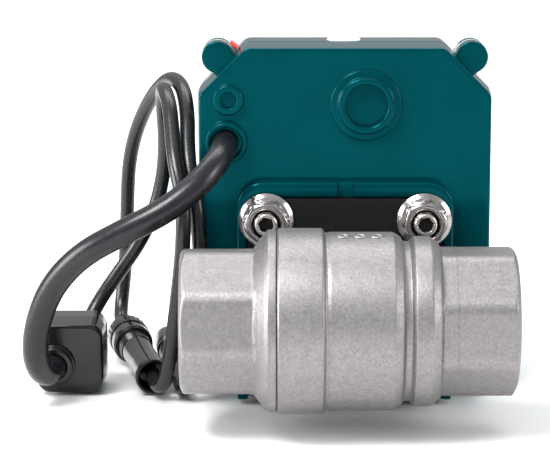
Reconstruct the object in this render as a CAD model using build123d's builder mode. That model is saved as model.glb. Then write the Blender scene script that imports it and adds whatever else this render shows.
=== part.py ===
from build123d import *

from math import acos, cos, pi, radians, sin, tan
import os

# Motorised two-piece ball valve, DN15: threaded valve, gear actuator, and its cable chain.
#
# Frame: X along the flow, Y from the valve towards the actuator's window, Z up.
# Origin: centre of the bottom face of the box around the object, without its cables.
# The object stands on the lower side of the actuator case. All sizes are in millimetres.
# A "depth" is a distance along +Y from the axis of the valve's flow.

os.makedirs("parts", exist_ok=True)

# ---- clearances and fits ----
running = 0.05
slip = 0.1
thread_gap = 0.05
free_gap = 0.3

# ---- valve ----
valve_length = 62.0
ring_radius = 17.2
cap_ring_radius = 16.9
middle_radius = 16.5
collar_radius = 15.7
octagon_flats = 26.4
octagon_turn = 8.0
port_thread_radius = 9.32
port_thread_length = 12.5
flow_radius = 7.0
ball_radius = 11.6
seam_x = -13.1
cap_stub_length = 4.8
cap_stub_radius = 13.4
seal_width = 0.8
cavity_radius = 12.4
cavity_end = 8.2
seat_radius = 10.8
seat_reach = 10.5
seat_face = 7.8
pad_half = 11.0
pad_depth = 20.4
stem_radius = 4.0
stem_flange_radius = 5.0
stem_flange_depth = 12.0
stem_flange_thickness = 1.0
washer_thickness = 0.5
lip_thickness = 1.4
packing_radius = 6.0
packing_height = 2.6
stem_square = 5.6
tang_width = 3.2
tang_length = 7.6
tang_depth = 9.0

# ---- actuator case ----
face_depth = 24.0
base_height = 7.5
gasket_thickness = 0.5
skirt_height = 10.0
shoulder_height = 1.6
crown_depth = 64.5
window_height = 3.5
case_half_width = 28.6
case_top = 48.4
case_bottom = 21.2
case_chamfer = 9.3
face_inset = 0.5
wall = 2.4
case_draft_back = 0.3
crown_half_width = 25.8
crown_chamfer = 8.4
crown_draft = 0.8
crown_top = 45.6
crown_bottom = 18.8
ear_radius = 3.1
ear_x = 24.6
lower_ear_x = 25.2
ear_top = 45.7
ear_thickness = 3.4
window_radius = 10.0
window_hole = 8.5
window_seal_inner = 8.9
window_seal_outer = 9.7
seal_groove = 0.5
lens_radius = 3.4
step_height = 0.8
cover_screw_radius = 1.1
screw_grip = 2.7
frame_screw_radius = 1.0

# ---- mounting ----
rim_half_width = 20.8
rim_top = 22.4
rim_height = 3.5
rim_side = 1.95
rim_band = 2.9
rim_corner = 4.9
notch_width = 2.8
stud_pitch = 30.4
stud_radius = 2.5
nut_flats = 8.0
nut_height = 5.0
nut_flange_radius = 5.35
stud_above_nut = 0.6
stud_socket_flats = 2.5
pad_screw_pitch = 15.6
pad_screw_radius = 1.5
plate_gap = 0.15

# ---- drive train ----
pressure_angle = 25.0
backlash = 0.12
fine_module = 0.5
coarse_module = 0.7
output_teeth = 48
pinion_teeth = 12
wheel_3_teeth = 40
wheel_teeth = 36
angle_3 = 113.9
angle_2 = 5.1
angle_1 = 45.4
angle_motor = 137.6
journal_radius = 7.0
gear_seat_radius = 6.0
bush_length = 5.4
bush_wall = 1.5
bush_boss_wall = 2.6
shaft_front = 24.8
socket_bottom = 34.0
output_depth = 36.4
output_thickness = 4.8
arbor_radius = 1.0
wheel_3_depth = 43.0
wheel_2_depth = 45.6
wheel_1_depth = 47.8
gear_plate_depth = 50.2
gear_plate_thickness = 1.2
top_journal_radius = 3.5
motor_radius = 7.8
motor_length = 14.2
motor_pin_rise = 4.6
motor_depth = 26.9
pointer_depth = 59.4
pointer_face = 62.6

# ---- electrics ----
board_depth = 53.2
board_thickness = 1.6
cable_radius = 2.5
lead_radius = 1.5
gland_x = -22.9
gland_z = 29.8
gland_radius = 4.0
gland_hole = 3.05
gland_height = 2.0
small_boss_z = 38.0

# ---- places that follow from the sizes above ----
half_length = valve_length / 2
overall_depth = ring_radius + crown_depth + window_height
valve_y = ring_radius - overall_depth / 2
stem_z = case_bottom
base_back = face_depth + base_height
cover_front = base_back + gasket_thickness
skirt_back = cover_front + skirt_height
crown_front = skirt_back + shoulder_height
octagon_radius = octagon_flats / 2 / cos(pi / 8)
flange_top = stem_flange_depth + stem_flange_thickness
spot_face_depth = flange_top + washer_thickness
chamber_depth = spot_face_depth + lip_thickness
stud_offset = stud_pitch / 2
plate_front = pad_depth
rim_front = face_depth - rim_height
stub_end = seam_x + cap_stub_length
bush_radius = journal_radius + running + bush_wall
bush_back = face_depth + 0.6 + bush_length
ring_groove = face_depth + 2.6


def polar(centre, distance, angle):
    """The point at a distance and an angle in degrees from a centre, seen from the valve."""
    return (
        centre[0] + distance * cos(radians(angle)),
        centre[1] + distance * sin(radians(angle)),
    )


def centre_distance(module, teeth_a, teeth_b):
    return module * (teeth_a + teeth_b) / 2


centre_output = (0.0, 0.0)
centre_3 = polar(centre_output, centre_distance(coarse_module, output_teeth, pinion_teeth), angle_3)
centre_2 = polar(centre_3, centre_distance(fine_module, wheel_3_teeth, pinion_teeth), angle_2)
centre_1 = polar(centre_2, centre_distance(fine_module, wheel_teeth, pinion_teeth), angle_1)
centre_motor = polar(centre_1, centre_distance(fine_module, wheel_teeth, pinion_teeth), angle_motor)


# ---- drawing helpers ----
def across(depth, at=(0.0, 0.0)):
    """Plane square to the stem at a depth, seen from the valve: local X along the flow, local Y up."""
    return Plane(
        origin=(at[0], valve_y + depth, stem_z + at[1]), x_dir=(1, 0, 0), z_dir=(0, -1, 0)
    )


def along(x):
    """Plane square to the flow at x: local X away from the valve's front, local Y up."""
    return Plane(origin=(x, valve_y, stem_z), x_dir=(0, 1, 0), z_dir=(1, 0, 0))


def disc(depth, radius, thickness, at=(0.0, 0.0), mode=Mode.ADD):
    """A cylinder along the stem, from a depth backwards."""
    with BuildSketch(across(depth, at)) as face:
        Circle(radius)
    extrude(face.sketch, amount=-thickness, mode=mode)


def turn_stem(points, at=(0.0, 0.0), mode=Mode.ADD):
    """Revolve an outline of (radius, depth) points about an axis along the stem."""
    centre = (at[0], valve_y, stem_z + at[1])
    with BuildSketch(Plane(origin=centre, x_dir=(1, 0, 0), z_dir=(0, 0, 1))) as profile:
        Polygon(*points, align=None)
    revolve(profile.sketch, axis=Axis(centre, (0, 1, 0)), mode=mode)


def turn_flow(points, mode=Mode.ADD):
    """Revolve an outline of (x, radius) points about the axis of the flow."""
    with BuildSketch(across(0.0)) as profile:
        Polygon(*points, align=None)
    revolve(profile.sketch, axis=Axis((0, valve_y, stem_z), (1, 0, 0)), mode=mode)


def save(name, part):
    part.label = name
    export_step(part, f"parts/{name}.step")


# ---- valve ----
def octagon_end(x_from, x_to, turn):
    """An octagonal wrench end whose outer rim is turned back to a cone."""
    outer_x = x_from if abs(x_from) > abs(x_to) else x_to
    side = 1 if outer_x > 0 else -1
    with BuildSketch(along(min(x_from, x_to))) as flats:
        RegularPolygon(octagon_radius, 8, rotation=22.5 + turn)
    extrude(flats.sketch, amount=abs(x_to - x_from))
    turn_flow(
        [
            (outer_x, octagon_flats / 2 - 0.3),
            (outer_x - side * 1.6, octagon_radius + 0.1),
            (outer_x - side * 1.6, octagon_radius + 2),
            (outer_x + side, octagon_radius + 2),
            (outer_x + side, octagon_flats / 2 - 0.3),
        ],
        mode=Mode.SUBTRACT,
    )


def port(side):
    """The threaded port at one end, with a lead-in chamfer and the flow bore behind it."""
    end = side * half_length
    bottom = end - side * port_thread_length
    turn_flow(
        [
            (end + side, 0),
            (end + side, port_thread_radius + 1.6),
            (end, port_thread_radius + 1.2),
            (end - side * 1.2, port_thread_radius),
            (bottom, port_thread_radius),
            (bottom - side * 1.2, flow_radius),
            (side * (seat_reach - 0.5), flow_radius),
            (side * (seat_reach - 0.5), 0),
        ],
        mode=Mode.SUBTRACT,
    )


def make_valve_body():
    collar_start = 11.6
    octagon_start = 17.0
    with BuildPart() as valve_body:
        octagon_end(octagon_start - 1.0, half_length, 0.0)
        turn_flow(
            [
                (seam_x, 0),
                (seam_x, ring_radius - 0.3),
                (seam_x + 0.3, ring_radius),
                (-4.7, ring_radius),
                (-4.1, ring_radius - 0.7),
                (-3.5, middle_radius - 0.1),
                (-3.1, middle_radius),
                (8.2, middle_radius),
                (9.3, middle_radius - 0.4),
                (10.2, middle_radius - 1.6),
                (11.0, middle_radius - 1.7),
                (collar_start, collar_radius - 0.5),
                (12.2, collar_radius),
                (15.0, collar_radius),
                (16.4, collar_radius - 0.9),
                (octagon_start, octagon_radius - 0.2),
                (octagon_start, 0),
            ]
        )
        with BuildSketch(across(pad_depth)):
            RectangleRounded(2 * pad_half, 2 * pad_half, 3.0)
        extrude(amount=pad_depth - 6.0)
        port(1)
        turn_flow(
            [(seam_x - 1, 0), (seam_x - 1, cap_stub_radius), (stub_end + seal_width, cap_stub_radius),
             (stub_end + seal_width, cavity_radius), (cavity_end, cavity_radius),
             (cavity_end, seat_radius), (seat_reach, seat_radius), (seat_reach, 0)],
            mode=Mode.SUBTRACT,
        )
        disc(0.0, stem_flange_radius + 0.4, spot_face_depth, mode=Mode.SUBTRACT)
        disc(0.0, stem_radius + running, pad_depth + 1, mode=Mode.SUBTRACT)
        disc(chamber_depth, packing_radius, pad_depth, mode=Mode.SUBTRACT)
        with BuildSketch(across(pad_depth)):
            with GridLocations(pad_screw_pitch, pad_screw_pitch, 2, 2):
                Circle(pad_screw_radius + thread_gap)
        extrude(amount=6.8, mode=Mode.SUBTRACT)
    save("valve_body", valve_body.part)


def make_end_cap():
    cone_start = -17.2
    with BuildPart() as end_cap:
        octagon_end(-half_length, cone_start + 1.0, octagon_turn)
        turn_flow(
            [
                (cone_start, 0),
                (cone_start, octagon_radius - 0.2),
                (-16.1, octagon_radius + 0.9),
                (-15.1, cap_ring_radius - 0.5),
                (-14.6, cap_ring_radius),
                (seam_x - 0.3, cap_ring_radius),
                (seam_x, cap_ring_radius - 0.3),
                (seam_x, cap_stub_radius - thread_gap),
                (stub_end, cap_stub_radius - thread_gap),
                (stub_end, 0),
            ]
        )
        port(-1)
        turn_flow(
            [(-seat_reach, 0), (-seat_reach, seat_radius), (stub_end + 1, seat_radius), (stub_end + 1, 0)],
            mode=Mode.SUBTRACT,
        )
    save("end_cap", end_cap.part)


def make_body_seal():
    with BuildPart() as body_seal:
        turn_flow(
            [(stub_end, cap_stub_radius - thread_gap), (stub_end, cavity_radius),
             (stub_end + seal_width, cavity_radius), (stub_end + seal_width, cap_stub_radius - thread_gap)]
        )
    save("body_seal", body_seal.part)


def make_valve_ball():
    with BuildPart() as valve_ball:
        with Locations((0, valve_y, stem_z)):
            Sphere(ball_radius)
        with BuildSketch(along(-ball_radius - 1)):
            Circle(flow_radius)
        extrude(amount=2 * ball_radius + 2, mode=Mode.SUBTRACT)
        with BuildSketch(across(tang_depth - slip)):
            Rectangle(tang_width + 2 * slip, 3 * ball_radius)
        extrude(amount=-ball_radius, mode=Mode.SUBTRACT)
    save("valve_ball", valve_ball.part)


def make_seat(name, side):
    """One ring seat, its inner face hollowed to the ball's sphere plus a gap."""
    reach = ball_radius + free_gap
    hollow_end = (reach ** 2 - flow_radius ** 2) ** 0.5
    steps = [seat_face + (hollow_end - seat_face) * step / 5 for step in range(6)]
    hollow = [(side * x, (reach ** 2 - x ** 2) ** 0.5) for x in steps]
    with BuildPart() as seat:
        turn_flow(
            hollow + [(side * seat_reach, flow_radius), (side * seat_reach, seat_radius),
                      (side * seat_face, seat_radius)]
        )
    save(name, seat.part)


def make_valve_stem():
    """Tang, blow-out shoulder, round shank and the square that enters the output shaft."""
    square_start = pad_depth + 1.6
    with BuildPart() as valve_stem:
        with BuildSketch(across(tang_depth)):
            Rectangle(tang_width, tang_length)
        extrude(amount=-(stem_flange_depth - tang_depth))
        disc(stem_flange_depth, stem_flange_radius, stem_flange_thickness)
        disc(flange_top, stem_radius, square_start - flange_top)
        with BuildSketch(across(square_start)):
            Rectangle(stem_square, stem_square)
        extrude(amount=-(socket_bottom - 0.5 - square_start))
    save("valve_stem", valve_stem.part)


def ring_on_stem(name, depth, thickness, outer, inner):
    with BuildPart() as ring:
        disc(depth, outer, thickness)
        disc(depth, inner, thickness, mode=Mode.SUBTRACT)
    save(name, ring.part)


def make_stem_seals():
    hole = stem_radius + running
    ring_on_stem("stem_thrust_washer", flange_top + running, washer_thickness - running,
                 stem_flange_radius, hole)
    ring_on_stem("stem_packing", chamber_depth, packing_height, packing_radius, hole)
    with BuildPart() as packing_gland:
        disc(chamber_depth + packing_height, packing_radius - thread_gap, 2.4)
        disc(chamber_depth + packing_height, hole + 0.15, 2.4, mode=Mode.SUBTRACT)
        with BuildSketch(across(chamber_depth + packing_height + 1.4)):
            Rectangle(3 * packing_radius, 1.6)
        extrude(amount=-2, mode=Mode.SUBTRACT)
    save("packing_gland", packing_gland.part)


# ---- mounting hardware ----
def make_adapter_plate():
    """Plastic plate that fills the case's rim, under the four nuts."""
    width = 2 * (rim_half_width - rim_side - plate_gap)
    top = rim_top - rim_band - plate_gap
    bottom = -(stud_offset + nut_flange_radius)
    thickness = face_depth - plate_front
    with BuildPart() as adapter_plate:
        with BuildSketch(across(plate_front)):
            with Locations((0, (top + bottom) / 2)):
                RectangleRounded(width, top - bottom, rim_corner - rim_side)
            Circle(packing_radius + 0.6, mode=Mode.SUBTRACT)
            with GridLocations(stud_pitch, stud_pitch, 2, 2):
                Circle(stud_radius + slip, mode=Mode.SUBTRACT)
            with GridLocations(pad_screw_pitch, pad_screw_pitch, 2, 2):
                Circle(pad_screw_radius + slip, mode=Mode.SUBTRACT)
        extrude(amount=-thickness)
        for place in pad_screw_places():
            turn_stem(
                [(0, face_depth + 1), (0, face_depth - pad_screw_radius),
                 (pad_screw_radius + slip, face_depth - pad_screw_radius),
                 (2 * pad_screw_radius + slip, face_depth), (2 * pad_screw_radius + slip, face_depth + 1)],
                place,
                Mode.SUBTRACT,
            )
    save("adapter_plate", adapter_plate.part)


def pad_screw_places():
    half = pad_screw_pitch / 2
    return [(x, z) for x in (-half, half) for z in (-half, half)]


def stud_places():
    return [(x, z) for x in (-stud_offset, stud_offset) for z in (-stud_offset, stud_offset)]


def make_adapter_screws():
    """Countersunk screws that hold the plate on the valve's pad, heads flush at the back."""
    tip = 14.2
    with BuildPart() as adapter_screws:
        for place in pad_screw_places():
            turn_stem(
                [(0, tip), (pad_screw_radius - 0.3, tip), (pad_screw_radius, tip + 0.4),
                 (pad_screw_radius, face_depth - pad_screw_radius), (2 * pad_screw_radius, face_depth),
                 (0, face_depth)],
                place,
            )
        with BuildSketch(*[across(face_depth, place) for place in pad_screw_places()]):
            RegularPolygon(1.0, 6)
        extrude(amount=1.2, mode=Mode.SUBTRACT)
    save("adapter_screws", adapter_screws.part)


def make_mounting_studs():
    front = plate_front - nut_height - stud_above_nut
    with BuildPart() as mounting_studs:
        for place in stud_places():
            turn_stem(
                [(0, front), (stud_radius - 0.5, front), (stud_radius, front + 0.5),
                 (stud_radius, base_back - 0.6), (stud_radius - 0.5, base_back - 0.1),
                 (0, base_back - 0.1)],
                place,
            )
        with BuildSketch(*[across(front, place) for place in stud_places()]):
            RegularPolygon(stud_socket_flats / 2, 6, major_radius=False)
        extrude(amount=-2.6, mode=Mode.SUBTRACT)
    save("mounting_studs", mounting_studs.part)


def make_flange_nuts():
    """Hexagon nuts with a round flange, their corners turned back on the free face."""
    flange = 1.2
    corner = nut_flats / 2 / cos(pi / 6)
    free_face = plate_front - nut_height
    with BuildPart() as flange_nuts:
        for place, turn in zip(stud_places(), (25.0, 2.5, -10.0, 14.0)):
            with BuildSketch(across(plate_front - flange, place)):
                RegularPolygon(corner, 6, rotation=turn)
            extrude(amount=nut_height - flange)
            turn_stem(
                [(0, plate_front), (nut_flange_radius, plate_front),
                 (nut_flange_radius, plate_front - 0.5), (corner, plate_front - flange - 0.5),
                 (0, plate_front - flange - 0.5)],
                place,
            )
            turn_stem(
                [(nut_flats / 2 - 0.5, free_face), (corner + 0.1, free_face + 0.9),
                 (corner + 2, free_face + 0.9), (corner + 2, free_face - 1),
                 (nut_flats / 2 - 0.5, free_face - 1)],
                place,
                mode=Mode.SUBTRACT,
            )
            disc(free_face, stud_radius + thread_gap, nut_height, place, mode=Mode.SUBTRACT)
    save("flange_nuts", flange_nuts.part)


# ---- case ----
def case_outline(inset, half_width, top, bottom, cut, mode=Mode.ADD):
    """Rectangle with its four corners cut off, moved in by an inset all round."""
    cut = cut - inset * (2 - 2 ** 0.5)
    right = half_width - inset
    upper = top - inset
    lower = inset - bottom
    Polygon(
        (right, lower + cut), (right, upper - cut), (right - cut, upper), (-right + cut, upper),
        (-right, upper - cut), (-right, lower + cut), (-right + cut, lower), (right - cut, lower),
        align=None, mode=mode,
    )


def base_outline(inset=0.0, mode=Mode.ADD):
    case_outline(inset, case_half_width, case_top, case_bottom, case_chamfer, mode)


def crown_outline(inset=0.0, mode=Mode.ADD):
    case_outline(inset, crown_half_width, crown_top, crown_bottom, crown_chamfer, mode)


def tapered(outline, front, back, front_inset, back_inset, mode=Mode.ADD):
    """A case-shaped block between two depths, each end with its own inset."""
    with BuildSketch(across(front)) as front_face:
        outline(front_inset)
    with BuildSketch(across(back)) as back_face:
        outline(back_inset)
    loft([front_face.sketch, back_face.sketch], mode=mode)


def ear_places():
    lower = ear_radius + 0.3 - case_bottom
    return [(-ear_x, ear_top), (ear_x, ear_top), (-lower_ear_x, lower), (lower_ear_x, lower)]


def ear_face(place):
    """One screw lug: a round end whose sides widen towards the case's cut corner."""
    side = 1 if place[0] > 0 else -1
    rise = 1 if place[1] > 0 else -1
    reach = 0.72 * ear_radius
    root_x = place[0] - side * 4.6
    root_z = place[1] - rise * 4.6
    with Locations(place):
        Circle(ear_radius)
    Polygon(
        (place[0] - side * reach, place[1] + rise * reach),
        (root_x - side * 2.9, root_z + rise * 2.9),
        (root_x + side * 2.9, root_z - rise * 2.9),
        (place[0] + side * reach, place[1] - rise * reach),
        align=None,
    )


def ears(depth, thickness):
    with BuildSketch(across(depth)) as lugs:
        for place in ear_places():
            ear_face(place)
    extrude(lugs.sketch, amount=-thickness)


def raised_ring(place, step, outer, inner, height):
    """A round boss on the case's face: a low step, then a softened ring round a hollow."""
    turn_stem(
        [(0, face_depth + 0.4), (0, face_depth - 0.2), (inner, face_depth - 0.2),
         (inner, face_depth - height + 0.4), (inner + 0.3, face_depth - height),
         (outer - 0.4, face_depth - height), (outer, face_depth - height + 0.4),
         (outer, face_depth - step_height), (step - 0.3, face_depth - step_height),
         (step, face_depth - step_height + 0.3), (step, face_depth + 0.4)],
        place,
    )


def rim_face():
    """The raised rim round the nuts: three sides of a rounded frame, open at the case's foot."""
    drop = 8.0
    height = rim_top + case_bottom + drop
    hollow = height - rim_band
    with Locations((0, rim_top - height / 2)):
        RectangleRounded(2 * rim_half_width, height, rim_corner)
    with Locations((0, rim_top - rim_band - hollow / 2)):
        RectangleRounded(2 * (rim_half_width - rim_side), hollow, rim_corner - rim_side,
                         mode=Mode.SUBTRACT)
    base_outline(face_inset, mode=Mode.INTERSECT)


def pillar_places():
    return [(-15.5, 38.0), (19.8, 8.5), (-19.8, -8.8), (19.8, -8.8)]


def make_base_housing():
    """Moulded front shell: face, bosses, rim, and inside it the bush, stud and frame pillars."""
    with BuildPart() as base_housing:
        tapered(base_outline, face_depth, base_back, face_inset, 0.0)
        tapered(base_outline, face_depth + wall, base_back, wall + face_inset, wall, Mode.SUBTRACT)
        ears(base_back - ear_thickness, ear_thickness)
        for place in ear_places():
            disc(base_back - screw_grip, cover_screw_radius + thread_gap, screw_grip, place, Mode.SUBTRACT)
        with BuildSketch(across(rim_front)):
            rim_face()
        extrude(amount=-(rim_height + 0.4))
        with BuildSketch(across(rim_front)):
            with Locations((0, rim_top - 0.7 - rim_band / 2)):
                Rectangle(notch_width, rim_band)
        extrude(amount=-1.2, mode=Mode.SUBTRACT)
        raised_ring(centre_motor, 6.9, 5.5, 4.1, 2.2)
        raised_ring((gland_x + 0.4, small_boss_z), 3.05, 2.7, 1.7, 1.2)
        raised_ring((gland_x, gland_z), gland_radius, gland_radius - 0.3, gland_hole, gland_height)
        disc(face_depth, bush_radius + bush_boss_wall, bush_back - face_depth)
        disc(face_depth - 1, bush_radius, bush_back, mode=Mode.SUBTRACT)
        with BuildSketch(*[across(face_depth + 0.5, place) for place in stud_places()]):
            Circle(stud_radius + 1.9)
        extrude(amount=-(base_height - 0.5))
        with BuildSketch(*[across(face_depth + 1, place) for place in pillar_places()]):
            Circle(2.5)
        extrude(amount=-(gear_plate_depth - face_depth - 1))
        with BuildSketch(*[across(gear_plate_depth - 8, place) for place in pillar_places()]):
            Circle(frame_screw_radius + thread_gap)
        extrude(amount=-8, mode=Mode.SUBTRACT)
        with BuildSketch(*[across(face_depth, place) for place in stud_places()]):
            Circle(stud_radius + thread_gap)
        extrude(amount=-base_height, mode=Mode.SUBTRACT)
        disc(face_depth + 1, motor_radius + slip + 1.2, 4.5, centre_motor)
        disc(motor_depth, motor_radius + slip, 6, centre_motor, mode=Mode.SUBTRACT)
        disc(face_depth + 1, gland_hole + 1.8, 5.0, (gland_x, gland_z))
        disc(face_depth - gland_height - 1, gland_hole, 12, (gland_x, gland_z), mode=Mode.SUBTRACT)
    save("base_housing", base_housing.part)


def make_cover_gasket():
    with BuildPart() as cover_gasket:
        with BuildSketch(across(base_back)):
            base_outline(0.25)
            for place in ear_places():
                ear_face(place)
        extrude(amount=-gasket_thickness)
        with BuildSketch(across(base_back)):
            base_outline(wall)
        extrude(amount=-gasket_thickness, mode=Mode.SUBTRACT)
        with BuildSketch(*[across(base_back, place) for place in ear_places()]):
            Circle(cover_screw_radius + slip)
        extrude(amount=-gasket_thickness, mode=Mode.SUBTRACT)
    save("cover_gasket", cover_gasket.part)


def make_cover():
    """Moulded back shell: skirt, sloping shoulder, crown, screw lugs, window and lens holes."""
    inner_step = skirt_back - 0.4
    with BuildPart() as cover:
        tapered(base_outline, cover_front, skirt_back, 0.0, case_draft_back)
        tapered(base_outline, skirt_back, crown_front, case_draft_back, 3.2)
        tapered(crown_outline, skirt_back, crown_depth, 0.0, crown_draft)
        ears(cover_front, ear_thickness)
        for place in ear_places():
            disc(cover_front, cover_screw_radius + slip, ear_thickness, place, Mode.SUBTRACT)
        tapered(base_outline, cover_front, inner_step, wall, wall + case_draft_back, Mode.SUBTRACT)
        tapered(crown_outline, inner_step - 0.1, crown_depth - wall, wall, wall + crown_draft,
                Mode.SUBTRACT)
        disc(crown_depth - wall - 1, window_hole, wall + 2, mode=Mode.SUBTRACT)
        turn_stem(
            [(window_seal_inner, crown_depth + 1), (window_seal_inner, crown_depth - seal_groove),
             (window_seal_outer, crown_depth - seal_groove), (window_seal_outer, crown_depth + 1)],
            mode=Mode.SUBTRACT,
        )
        with BuildSketch(lens_plane(-wall - 1)):
            Circle(lens_radius)
        extrude(amount=wall + 3, mode=Mode.SUBTRACT)
    save("cover", cover.part)


def lens_plane(offset):
    """Plane facing up at the case's top side, under the middle of the skirt's top."""
    depth = cover_front + skirt_height / 2
    return Plane(origin=(0, valve_y + depth, stem_z + case_top + offset), x_dir=(1, 0, 0),
                 z_dir=(0, 0, 1))


def make_status_lens():
    with BuildPart() as status_lens:
        with BuildSketch(lens_plane(-wall - 0.3)):
            Circle(lens_radius - running)
        extrude(amount=wall + 0.45)
        chamfer(status_lens.faces().sort_by(Axis.Z)[-1].edges(), 0.25)
    save("status_lens", status_lens.part)


def make_cover_screws():
    """Pan-head screws from the window side, through the cover's lugs into the housing's."""
    head_seat = cover_front + ear_thickness
    tip = base_back - screw_grip + 0.2
    with BuildPart() as cover_screws:
        for place in ear_places():
            turn_stem(
                [(0, tip), (cover_screw_radius - 0.3, tip), (cover_screw_radius, tip + 0.5),
                 (cover_screw_radius, head_seat), (1.9, head_seat), (1.9, head_seat + 0.9),
                 (1.3, head_seat + 1.6), (0, head_seat + 1.6)],
                place,
            )
        with BuildSketch(*[across(head_seat + 0.6, place) for place in ear_places()]):
            Rectangle(2.6, 0.5)
            Rectangle(0.5, 2.6)
        extrude(amount=-2, mode=Mode.SUBTRACT)
    save("cover_screws", cover_screws.part)


def make_window():
    """Clear flanged dome over the position pointer, with the seal ring beneath its flange."""
    top = crown_depth + window_height
    with BuildPart() as window:
        turn_stem(
            [(0, top), (5.6, top - 0.15), (7.2, top - 0.8), (7.8, top - 1.8), (8.0, crown_depth + 1),
             (window_radius, crown_depth + 1), (window_radius, crown_depth),
             (7.0, crown_depth), (6.9, top - 2.1), (6.4, top - 1.5), (5.2, top - 1.2), (0, top - 1.1)]
        )
    save("window", window.part)
    with BuildPart() as window_seal:
        turn_stem(
            [(window_seal_inner, crown_depth), (window_seal_inner, crown_depth - seal_groove),
             (window_seal_outer, crown_depth - seal_groove), (window_seal_outer, crown_depth)]
        )
    save("window_seal", window_seal.part)


def make_seal_dab():
    """A dab of sealing paint across the joint between the two upper left lugs."""
    x, z = ear_places()[0]
    place = (x + ear_radius + 0.05, z + 0.68 * ear_radius)
    with BuildPart() as seal_dab:
        with BuildSketch(across(base_back - 2.0, place)):
            Rectangle(1.7, 0.4, rotation=-36.7)
        extrude(amount=-4.4)
    save("seal_dab", seal_dab.part)


# ---- drive train ----
def gear_face(module, teeth, turn):
    """Spur gear outline. Each flank is an involute of the base circle, thinned by the backlash."""
    pitch = module * teeth / 2
    base = pitch * cos(radians(pressure_angle))
    tip = pitch + 0.95 * module
    root = pitch - 1.2 * module
    half_tooth = pi / 2 / teeth - backlash / 4 / pitch

    def involute(angle):
        return tan(angle) - angle

    def half_angle(radius):
        roll = acos(min(1.0, base / radius))
        return half_tooth + involute(radians(pressure_angle)) - involute(roll)

    start = max(base, root)
    flank = [start + (tip - start) * step / 4 for step in range(5)]
    outline = []
    for tooth in range(teeth):
        middle = radians(turn) + 2 * pi * tooth / teeth
        if base > root:
            outline.append((root, middle - half_angle(start)))
        outline += [(radius, middle - half_angle(radius)) for radius in flank]
        outline += [(radius, middle + half_angle(radius)) for radius in reversed(flank)]
        if base > root:
            outline.append((root, middle + half_angle(start)))
    Polygon(*[(radius * cos(angle), radius * sin(angle)) for radius, angle in outline], align=None)


def meshed_turn(turn, teeth, mate_teeth, angle):
    """Turn of a mate, in mesh at a direction in degrees, with a gear that stands at a turn."""
    return angle + 180 - (180 - teeth * (angle - turn)) / mate_teeth


turn_output = 0.0
turn_3_pinion = meshed_turn(turn_output, output_teeth, pinion_teeth, angle_3)
turn_3_wheel = turn_3_pinion
turn_2_pinion = meshed_turn(turn_3_wheel, wheel_3_teeth, pinion_teeth, angle_2)
turn_2_wheel = turn_2_pinion
turn_1_pinion = meshed_turn(turn_2_wheel, wheel_teeth, pinion_teeth, angle_1)
turn_1_wheel = turn_1_pinion
turn_motor = meshed_turn(turn_1_wheel, wheel_teeth, pinion_teeth, angle_motor)


def gear(depth, thickness, module, teeth, turn, at):
    with BuildSketch(across(depth, at)) as profile:
        gear_face(module, teeth, turn)
    extrude(profile.sketch, amount=-thickness)


def make_output_shaft():
    """Square-socketed shaft: front journal, shoulder, gear seat, rear journal, pointer end."""
    with BuildPart() as output_shaft:
        turn_stem(
            [(0, shaft_front), (journal_radius - 0.4, shaft_front),
             (journal_radius, shaft_front + 0.4),
             (journal_radius, ring_groove), (journal_radius - 1.0, ring_groove),
             (journal_radius - 1.0, ring_groove + 1.2), (journal_radius, ring_groove + 1.2),
             (journal_radius, bush_back + 0.2), (8.6, bush_back + 0.2), (8.6, output_depth),
             (gear_seat_radius, output_depth), (gear_seat_radius, output_depth + output_thickness),
             (4.8, output_depth + output_thickness), (4.8, gear_plate_depth - 0.4),
             (top_journal_radius, gear_plate_depth - 0.4),
             (top_journal_radius, pointer_depth), (1.8, pointer_depth), (1.8, pointer_depth + 3.0),
             (0, pointer_depth + 3.0)]
        )
        with BuildSketch(across(shaft_front)):
            Rectangle(stem_square + 2 * slip, stem_square + 2 * slip)
        extrude(amount=-(socket_bottom - shaft_front), mode=Mode.SUBTRACT)
        with BuildSketch(across(output_depth)):
            with Locations((gear_seat_radius, 0), (-gear_seat_radius, 0)):
                Rectangle(2.0, 4 * gear_seat_radius)
        extrude(amount=-output_thickness, mode=Mode.SUBTRACT)
    save("output_shaft", output_shaft.part)
    ring_on_stem("shaft_ring", ring_groove, 1.2, journal_radius, journal_radius - 1.0)


def make_bushes():
    ring_on_stem("front_bush", face_depth + 0.6, bush_back - face_depth - 0.6, bush_radius,
                 journal_radius + running)
    outer = top_journal_radius + running + 1.2
    with BuildPart() as upper_bush:
        disc(gear_plate_depth, outer, gear_plate_thickness)
        disc(gear_plate_depth + gear_plate_thickness, outer + 1.0, 0.8)
        disc(gear_plate_depth, top_journal_radius + running, 3, mode=Mode.SUBTRACT)
    save("upper_bush", upper_bush.part)


def make_output_gear():
    with BuildPart() as output_gear:
        gear(output_depth, output_thickness, coarse_module, output_teeth, turn_output, centre_output)
        with BuildSketch(across(output_depth)):
            Circle(gear_seat_radius)
            with Locations((gear_seat_radius, 0), (-gear_seat_radius, 0)):
                Rectangle(2.0, 4 * gear_seat_radius, mode=Mode.SUBTRACT)
        extrude(amount=-output_thickness, mode=Mode.SUBTRACT)
        with BuildSketch(across(output_depth)):
            with PolarLocations(11.6, 6, start_angle=30):
                Circle(2.4)
        extrude(amount=-output_thickness, mode=Mode.SUBTRACT)
    save("output_gear", output_gear.part)


def make_compound_gear(name, at, pinion, wheel):
    """A pinion and a wheel in one piece on an arbor; each is (depth, thickness, module, teeth, turn)."""
    with BuildPart() as compound_gear:
        gear(*pinion, at)
        gear(*wheel, at)
        hub_back = wheel[0] + wheel[1] + 0.25
        disc(wheel[0], 2.2, hub_back - wheel[0], at)
        disc(pinion[0] - 1, arbor_radius + running, hub_back - pinion[0] + 2, at, mode=Mode.SUBTRACT)
    save(name, compound_gear.part)


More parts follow.
